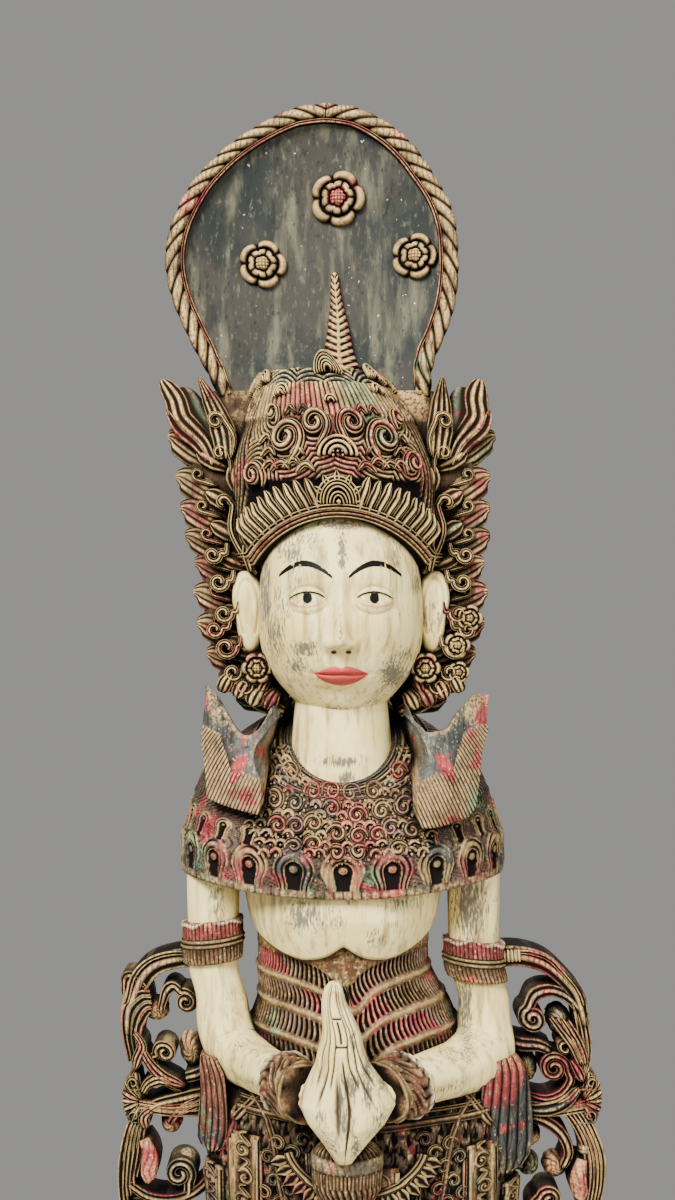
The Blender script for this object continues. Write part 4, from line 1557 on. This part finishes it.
# The side scrolls: on each side of the skirt a thick board of the log is pierced and cut
# front and back into hooked stems, rolled leaves and balls, four runs one above another.


SCROLL_FOOT, SCROLL_TALL, EDGE_FROM = 150, 600, 205


def ball(cu, cv, across, up, lay, tint, cuts=5, swirl=0.25, deep=17.0, middle=-16.0, cap=None):
    """A leaf rolled into a ball, with cuts that wind towards its front and its back."""

    def form(u, v):
        turn = 2 * np.pi * u
        girth = np.sin(np.pi * v)
        ridge = notch(u * cuts + swirl * cuts * (1 - girth) * np.sign(0.5 - v), 1.0, 0.6)
        size = 1 - 0.1 * (1 - ridge) * girth
        out = middle + deep * np.cos(np.pi * v) * (1 - 0.06 * (1 - ridge))
        paint = np.broadcast_to(tint, (len(u), 3))
        if cap is not None:
            paint = daub(np.sin(turn) > 0.2, cap, paint)
        reach = girth * size
        x, y, z = lay(cu + across * reach * np.cos(turn), cv + up * reach * np.sin(turn), out)
        return x, y, z, 0.12 + 0.88 * ridge, paint

    return carve(60, 30, form)


def scroll_run(side, drop, first):
    """One run of scrollwork, drawn where the top run of its side is and moved down by drop."""
    edge_of = lambda a: side * (a - 0.12 * np.maximum(a - EDGE_FROM, 0))
    lay = lambda a, b, out: (edge_of(a), -12 - out, b - drop)
    fore = lambda a, b, out: (edge_of(a), -17 - out, b - drop)
    thick = {"foot": 34, "both": True, "columns": 46}
    thin = {"foot": 24, "both": True, "columns": 36}
    cuts = []

    def stem(path, half, tint, high=8, flutes=2, how=thick, place=lay, **more):
        cuts.append(strand(path, half, high, place, tint, flutes, **{**how, **more}))

    def snail(cu, cv, radius, path, tint, way, start, turns, wide, high=8, how=thick, place=lay, **more):
        cuts.append(hook(cu, cv, radius, path, place, tint, way, start, turns, wide, high, **{**how, **more}))

    def blade(path, wide, tint, high=7, flutes=3, how=thick, place=lay, **more):
        cuts.append(leaf(path, wide, high, place, tint, flutes, **{**how, **more}))

    if first and side < 0:
        stem([(104, 740), (130, 741), (149, 740), (171, 733), (189, 716), (200, 696), (205, 672)],
             [(0, 9), (0.5, 8.5), (0.8, 8), (1, 5)], MAUVE * 0.7 + OCHRE * 0.35, edge=GOLD)
        stem([(128, 744), (150, 746), (172, 740), (191, 723), (203, 700)], 2.2, GOLD, 4, 1, place=fore,
             foot=8, both=False, columns=14)
        for k, paint in enumerate((OCHRE, GREEN * 0.8, GOLD, OCHRE * 0.8)):
            stem([(206 - 3 * k, 648 + 2 * k), (207 - 4 * k, 672 + k), (202 - 4.5 * k, 697 - 3.5 * k),
                  (190 - 2.5 * k, 709 - 5 * k), (178, 710 - 5.5 * k)], (2.5, 4, 3), paint, 9 - 0.5 * k, 1,
                 round_end=0.06, edge=pick(PINK, OCHRE))
        cuts.append(ball(177, 693, 11.5, 11, lay, OCHRE * 0.9, 6, 0.5, 21, cap=PINK * 0.7 + OCHRE * 0.4))
        blade([(203, 706), (196, 722), (187, 722), (181, 712)], 6, PINK * 0.6 + OCHRE * 0.5, edge=OCHRE)
        snail(149, 702, 9, [(172, 690), (170, 701), (165, 711), (157, 716)], MAUVE * 0.6 + OCHRE * 0.4, 1,
              70, 1.35, 4.6, edge=GOLD)
        blade([(198, 676), (193, 664), (199, 652), (203, 641)], 5, PINK, place=fore, edge=GREEN)
        blade([(196, 668), (190, 650), (177, 636), (156, 627)], 5.5, PINK * 0.9, place=fore, edge=OCHRE)
        snail(174, 657, 8.5, [(160, 622), (172, 628), (183, 640), (186, 652)], OCHRE, 1, -20, 1.5, 4,
              edge=GOLD * 0.8)
        cuts.append(ball(150, 656, 13, 17, lay, OCHRE * 0.8, 9, 0.2, 16))
        stem([(120, 668), (128, 654), (140, 640), (158, 634)], (8, 5), SLATE * 0.8 + OCHRE * 0.2)
        blade([(196, 621), (190, 630), (180, 634), (168, 630)], 6, OCHRE * 1.2, place=fore)
    elif first:
        stem([(104, 741), (135, 742), (160, 742), (182, 734), (197, 715), (203, 694), (204, 680)],
             [(0, 10), (0.5, 9), (0.8, 8), (1, 6)], OCHRE * 0.75, edge=UMBER)
        stem([(150, 747), (168, 746), (186, 738), (199, 717), (204, 698)], 2, GOLD * 0.9, 4, 1, place=fore,
             foot=8, both=False, columns=14)
        cuts.append(strand([(128, 742), (158, 744)], 6, 5, fore, GOLD, veins=9, slant=0.1, foot=8,
                           columns=24, rows=60))
        for k, paint in enumerate((OCHRE, GOLD, GREEN * 0.6 + OCHRE * 0.4)):
            blade([(198 + 3 * k, 700 - k), (199 + 3.5 * k, 678), (198 + 2.5 * k, 656), (194 + k, 632)], 3.6,
                  paint, 9, 1, tip=0.1)
        snail(159, 687, 10, [(204, 678), (202, 693), (192, 706), (178, 712), (163, 708)],
              SLATE * 0.6 + OCHRE * 0.4, 1, 110, 1.45, 6, edge=MAUVE)
        cuts.append(ball(183, 683, 12, 15, lay, SLATE * 0.9, 7, 0.3, 21, cap=GREEN * 0.7 + PINK * 0.3))
        for k in range(4):
            blade([(174 + 5 * k, 690 - k), (181 + 4.5 * k, 678 - k), (189 + 3 * k, 664 - k),
                   (194 + 2 * k, 646)], 3.2, pick(OCHRE, GOLD, PINK * 0.7), 9, 1, place=fore, tip=0.1)
        snail(183, 661, 6.5, [(199, 630), (196, 642), (191, 653)], OCHRE * 0.7, 1, 0, 1.2, 3.4, edge=PINK)
        blade([(186, 652), (191, 643), (197, 631)], 4.5, PINK, place=fore, flutes=2)
        snail(171, 643, 12.5, [(136, 626), (148, 619), (164, 615), (178, 620), (186, 632)], PINK * 0.8, 1,
              -10, 1.6, 4.4, edge=PINK)
        cuts.append(ball(147, 642, 11, 16, lay, GOLD, 11, 0.1, 18))
        stem([(128, 668), (145, 664), (160, 663), (170, 658)], (8, 5), SLATE * 0.8 + PINK * 0.15)
        blade([(130, 616), (150, 607), (175, 610), (195, 626)], 6.5, SLATE * 0.7, place=fore,
              edge=OCHRE * 1.2, flutes=2)
        blade([(172, 611), (184, 617), (193, 627)], 5, PINK, place=fore, edge=GREEN)
        cuts.append(ball(193, 612, 6.5, 5.5, fore, PINK, 3, 0, 10, -8))
    elif side < 0:
        stem([(108, 623), (141, 620), (164, 615), (184, 610), (195, 600), (196, 590)],
             [(0, 7), (0.6, 6), (1, 4)], OCHRE, edge=GOLD, round_end=0.08)
        blade([(186, 607), (194, 600), (192, 589)], 5.5, PINK * 0.8, place=fore, edge=GREEN)
        for k in range(3):
            stem([(128, 622 - 2 * k), (146, 616 - 3 * k), (160 + 3 * k, 608 - 3 * k), (172, 594 - k)],
                 [(0, 2.5), (0.6, 3.6), (1, 2.8)], pick(OCHRE, GOLD, PINK * 0.8), 9, 1, round_end=0.08)
        cuts.append(ball(171, 593, 10, 12, lay, OCHRE, 5, 0.4, 21, cap=PINK * 0.8))
        for k in range(5):
            stem([(198 - 2 * k, 611 - k), (209 - 3.2 * k, 588), (215 - 4 * k, 562),
                  (216 - 3.5 * k, 536 + 3 * k), (213 - 3 * k, 512 + 8 * k)], (2.4, 4, 2.6),
                 pick(OCHRE, GOLD, UMBER * 1.2), 9 - k * 0.6, 1, edge=pick(PINK * 0.8, GOLD))
        blade([(195, 582), (189, 566), (191, 540)], 8, PINK, place=fore, flutes=0)
        snail(163, 549, 12, [(206, 524), (192, 524), (174, 524), (156, 529)], SLATE * 0.7 + OCHRE * 0.3, -1,
              220, 1.35, 5.5)
        cuts.append(ball(158, 550, 12, 15, lay, SLATE * 0.8 + OCHRE * 0.2, 2, 0.4, 20))
        stem([(128, 566), (134, 548), (148, 533), (168, 526), (190, 528), (209, 540)], (5, 4), OCHRE * 0.8,
             edge=PINK * 0.8)
    else:
        stem([(108, 600), (140, 600), (160, 597), (177, 585), (184, 568), (178, 553)],
             [(0, 6), (0.6, 5.6), (1, 4)], OCHRE * 0.8, edge=PINK * 0.7, round_end=0.06)
        cuts.append(ball(173, 553, 11.5, 11.5, lay, PINK * 0.4 + OCHRE * 0.5, 7, 0.3, 20))
        for k in range(5):
            stem([(180 + 4 * k, 605), (192 + 3.4 * k, 588), (200 + 3.6 * k, 566), (201 + 3.5 * k, 541),
                  (196 + 3.5 * k, 512 + 2 * k)], (2.6, 4, 2.6), pick(OCHRE, GOLD, UMBER * 1.3), 9, 1,
                 edge=pick(OCHRE, PINK * 0.8))
        cuts.append(ball(198, 571, 6.5, 6.5, fore, GOLD, 4, 0, 12, -8))
        blade([(196, 564), (192, 546), (196, 524)], 8, PINK * 0.9, place=fore, flutes=0)
        stem([(110, 596), (126, 594), (144, 586)], (6, 4), SLATE * 0.8, round_end=0.1)
        stem([(110, 566), (128, 560), (144, 555)], (6, 4), MAUVE * 0.8, round_end=0.1)
        cuts.append(ball(150, 580, 11, 11, lay, PINK * 0.3 + OCHRE * 0.5, 8, 0.3, 18))
        cuts.append(ball(149, 554, 10.5, 11, lay, GREEN * 0.4 + SLATE * 0.4, 5, 0.3, 19))
        blade([(132, 610), (140, 602), (143, 590)], 5, GOLD * 1.1, place=fore)
        snail(167, 526, 9, [(140, 500), (150, 504), (152, 520)], OCHRE * 0.7, -1, 170, 1.4, 4.6, edge=GOLD)

    lift = 0 if first else -147
    if not first:
        snail(168, 498, 10, [(214, 508), (206, 494), (196, 480), (180, 473)], OCHRE, -1, -60, 1.4, 4.6,
              edge=GOLD)
        blade([(210, 524), (204, 508), (190, 500)], 6, PINK * 0.8, place=fore, edge=OCHRE)
        cuts.append(ball(146, 500, 11, 14, lay, SLATE * 0.6 + OCHRE * 0.3, 6, 0.3, 18))
        stem([(112, 520), (124, 500), (136, 480), (156, 468), (180, 464)], (7, 5), MAUVE * 0.7 + OCHRE * 0.2,
             edge=OCHRE)
    for start, paint in ((0, GOLD), (-6, OCHRE * 0.8), (5, PINK * 0.8)):
        stem([(112, 611 + start + lift), (140, 609 + 0.9 * start + lift), (170, 606 + 0.5 * start + lift),
              (200, 610 + 0.5 * start + lift)], (4, 3.2), paint, 9, 1)
    for x, z, r, paint in ((204, 630, 6, OCHRE), (203, 601, 6, SLATE)):
        turn = hand.uniform(-30, 30)
        snail(x, z + lift, r, [(x - 14, 0.6 * z + 0.4 * 612 + lift - 4), (x - 9, z + lift - 6)],
              paint * (0.9 + 0.2 * hand.random()), 1, -90 + turn, 1.3, 2.7, 9, how=thin)
    for k in range(8):
        a = math.radians(76 - 20 * k)
        root, tip = (196, 613 + lift), (197 + 19.5 * math.cos(a), 616 + 26 * math.sin(a) + lift)
        middle = ((root[0] + tip[0]) / 2 + 2, (root[1] + tip[1]) / 2 + 2 * math.sin(a))
        blade([root, middle, tip], 4.4, pick(PINK * 0.8, OCHRE, GOLD, UMBER * 1.4), 9 if k % 2 else 7, 2,
              how=thin, tip=0.2)
    return cuts


def root_form(side, u, v):
    """The edge of the board along the skirt, cut like gathered cloth."""
    turn = 2 * np.pi * u
    z = SCROLL_FOOT + SCROLL_TALL * v
    across, deep = blunt(np.cos(turn), 0.5), blunt(np.sin(turn), 0.5)
    fold = notch(z + 8 * np.sin(z / 31) + 5 * np.cos(turn), 21, 0.5)
    x = 106 + (11 + 3.5 * np.sin(z / 24)) * across
    y = 5 + (20 + 2.2 * fold) * deep
    paint = daub(np.sin(z / 17 + turn) > 0.35, MAUVE * 0.7, SLATE * 0.75 + OCHRE * 0.1)
    return side * x, y, z, 0.1 + 0.8 * fold, paint


scroll_paint = old_paint("scroll_paint", 0.35, 0.35, chalk=0.5, recess=(20, 16, 14), gouge=0.6, rub=0.6)
for name, side in (("left_scrolls", -1), ("right_scrolls", 1)):
    cuts = [carve(70, 260, lambda u, v: root_form(side, u, v))]
    for drop, first in ((0, True), (0, False), (303, True), (297, False)):
        cuts += scroll_run(side, drop, first)
    finish(name, cuts, scroll_paint, 88000)
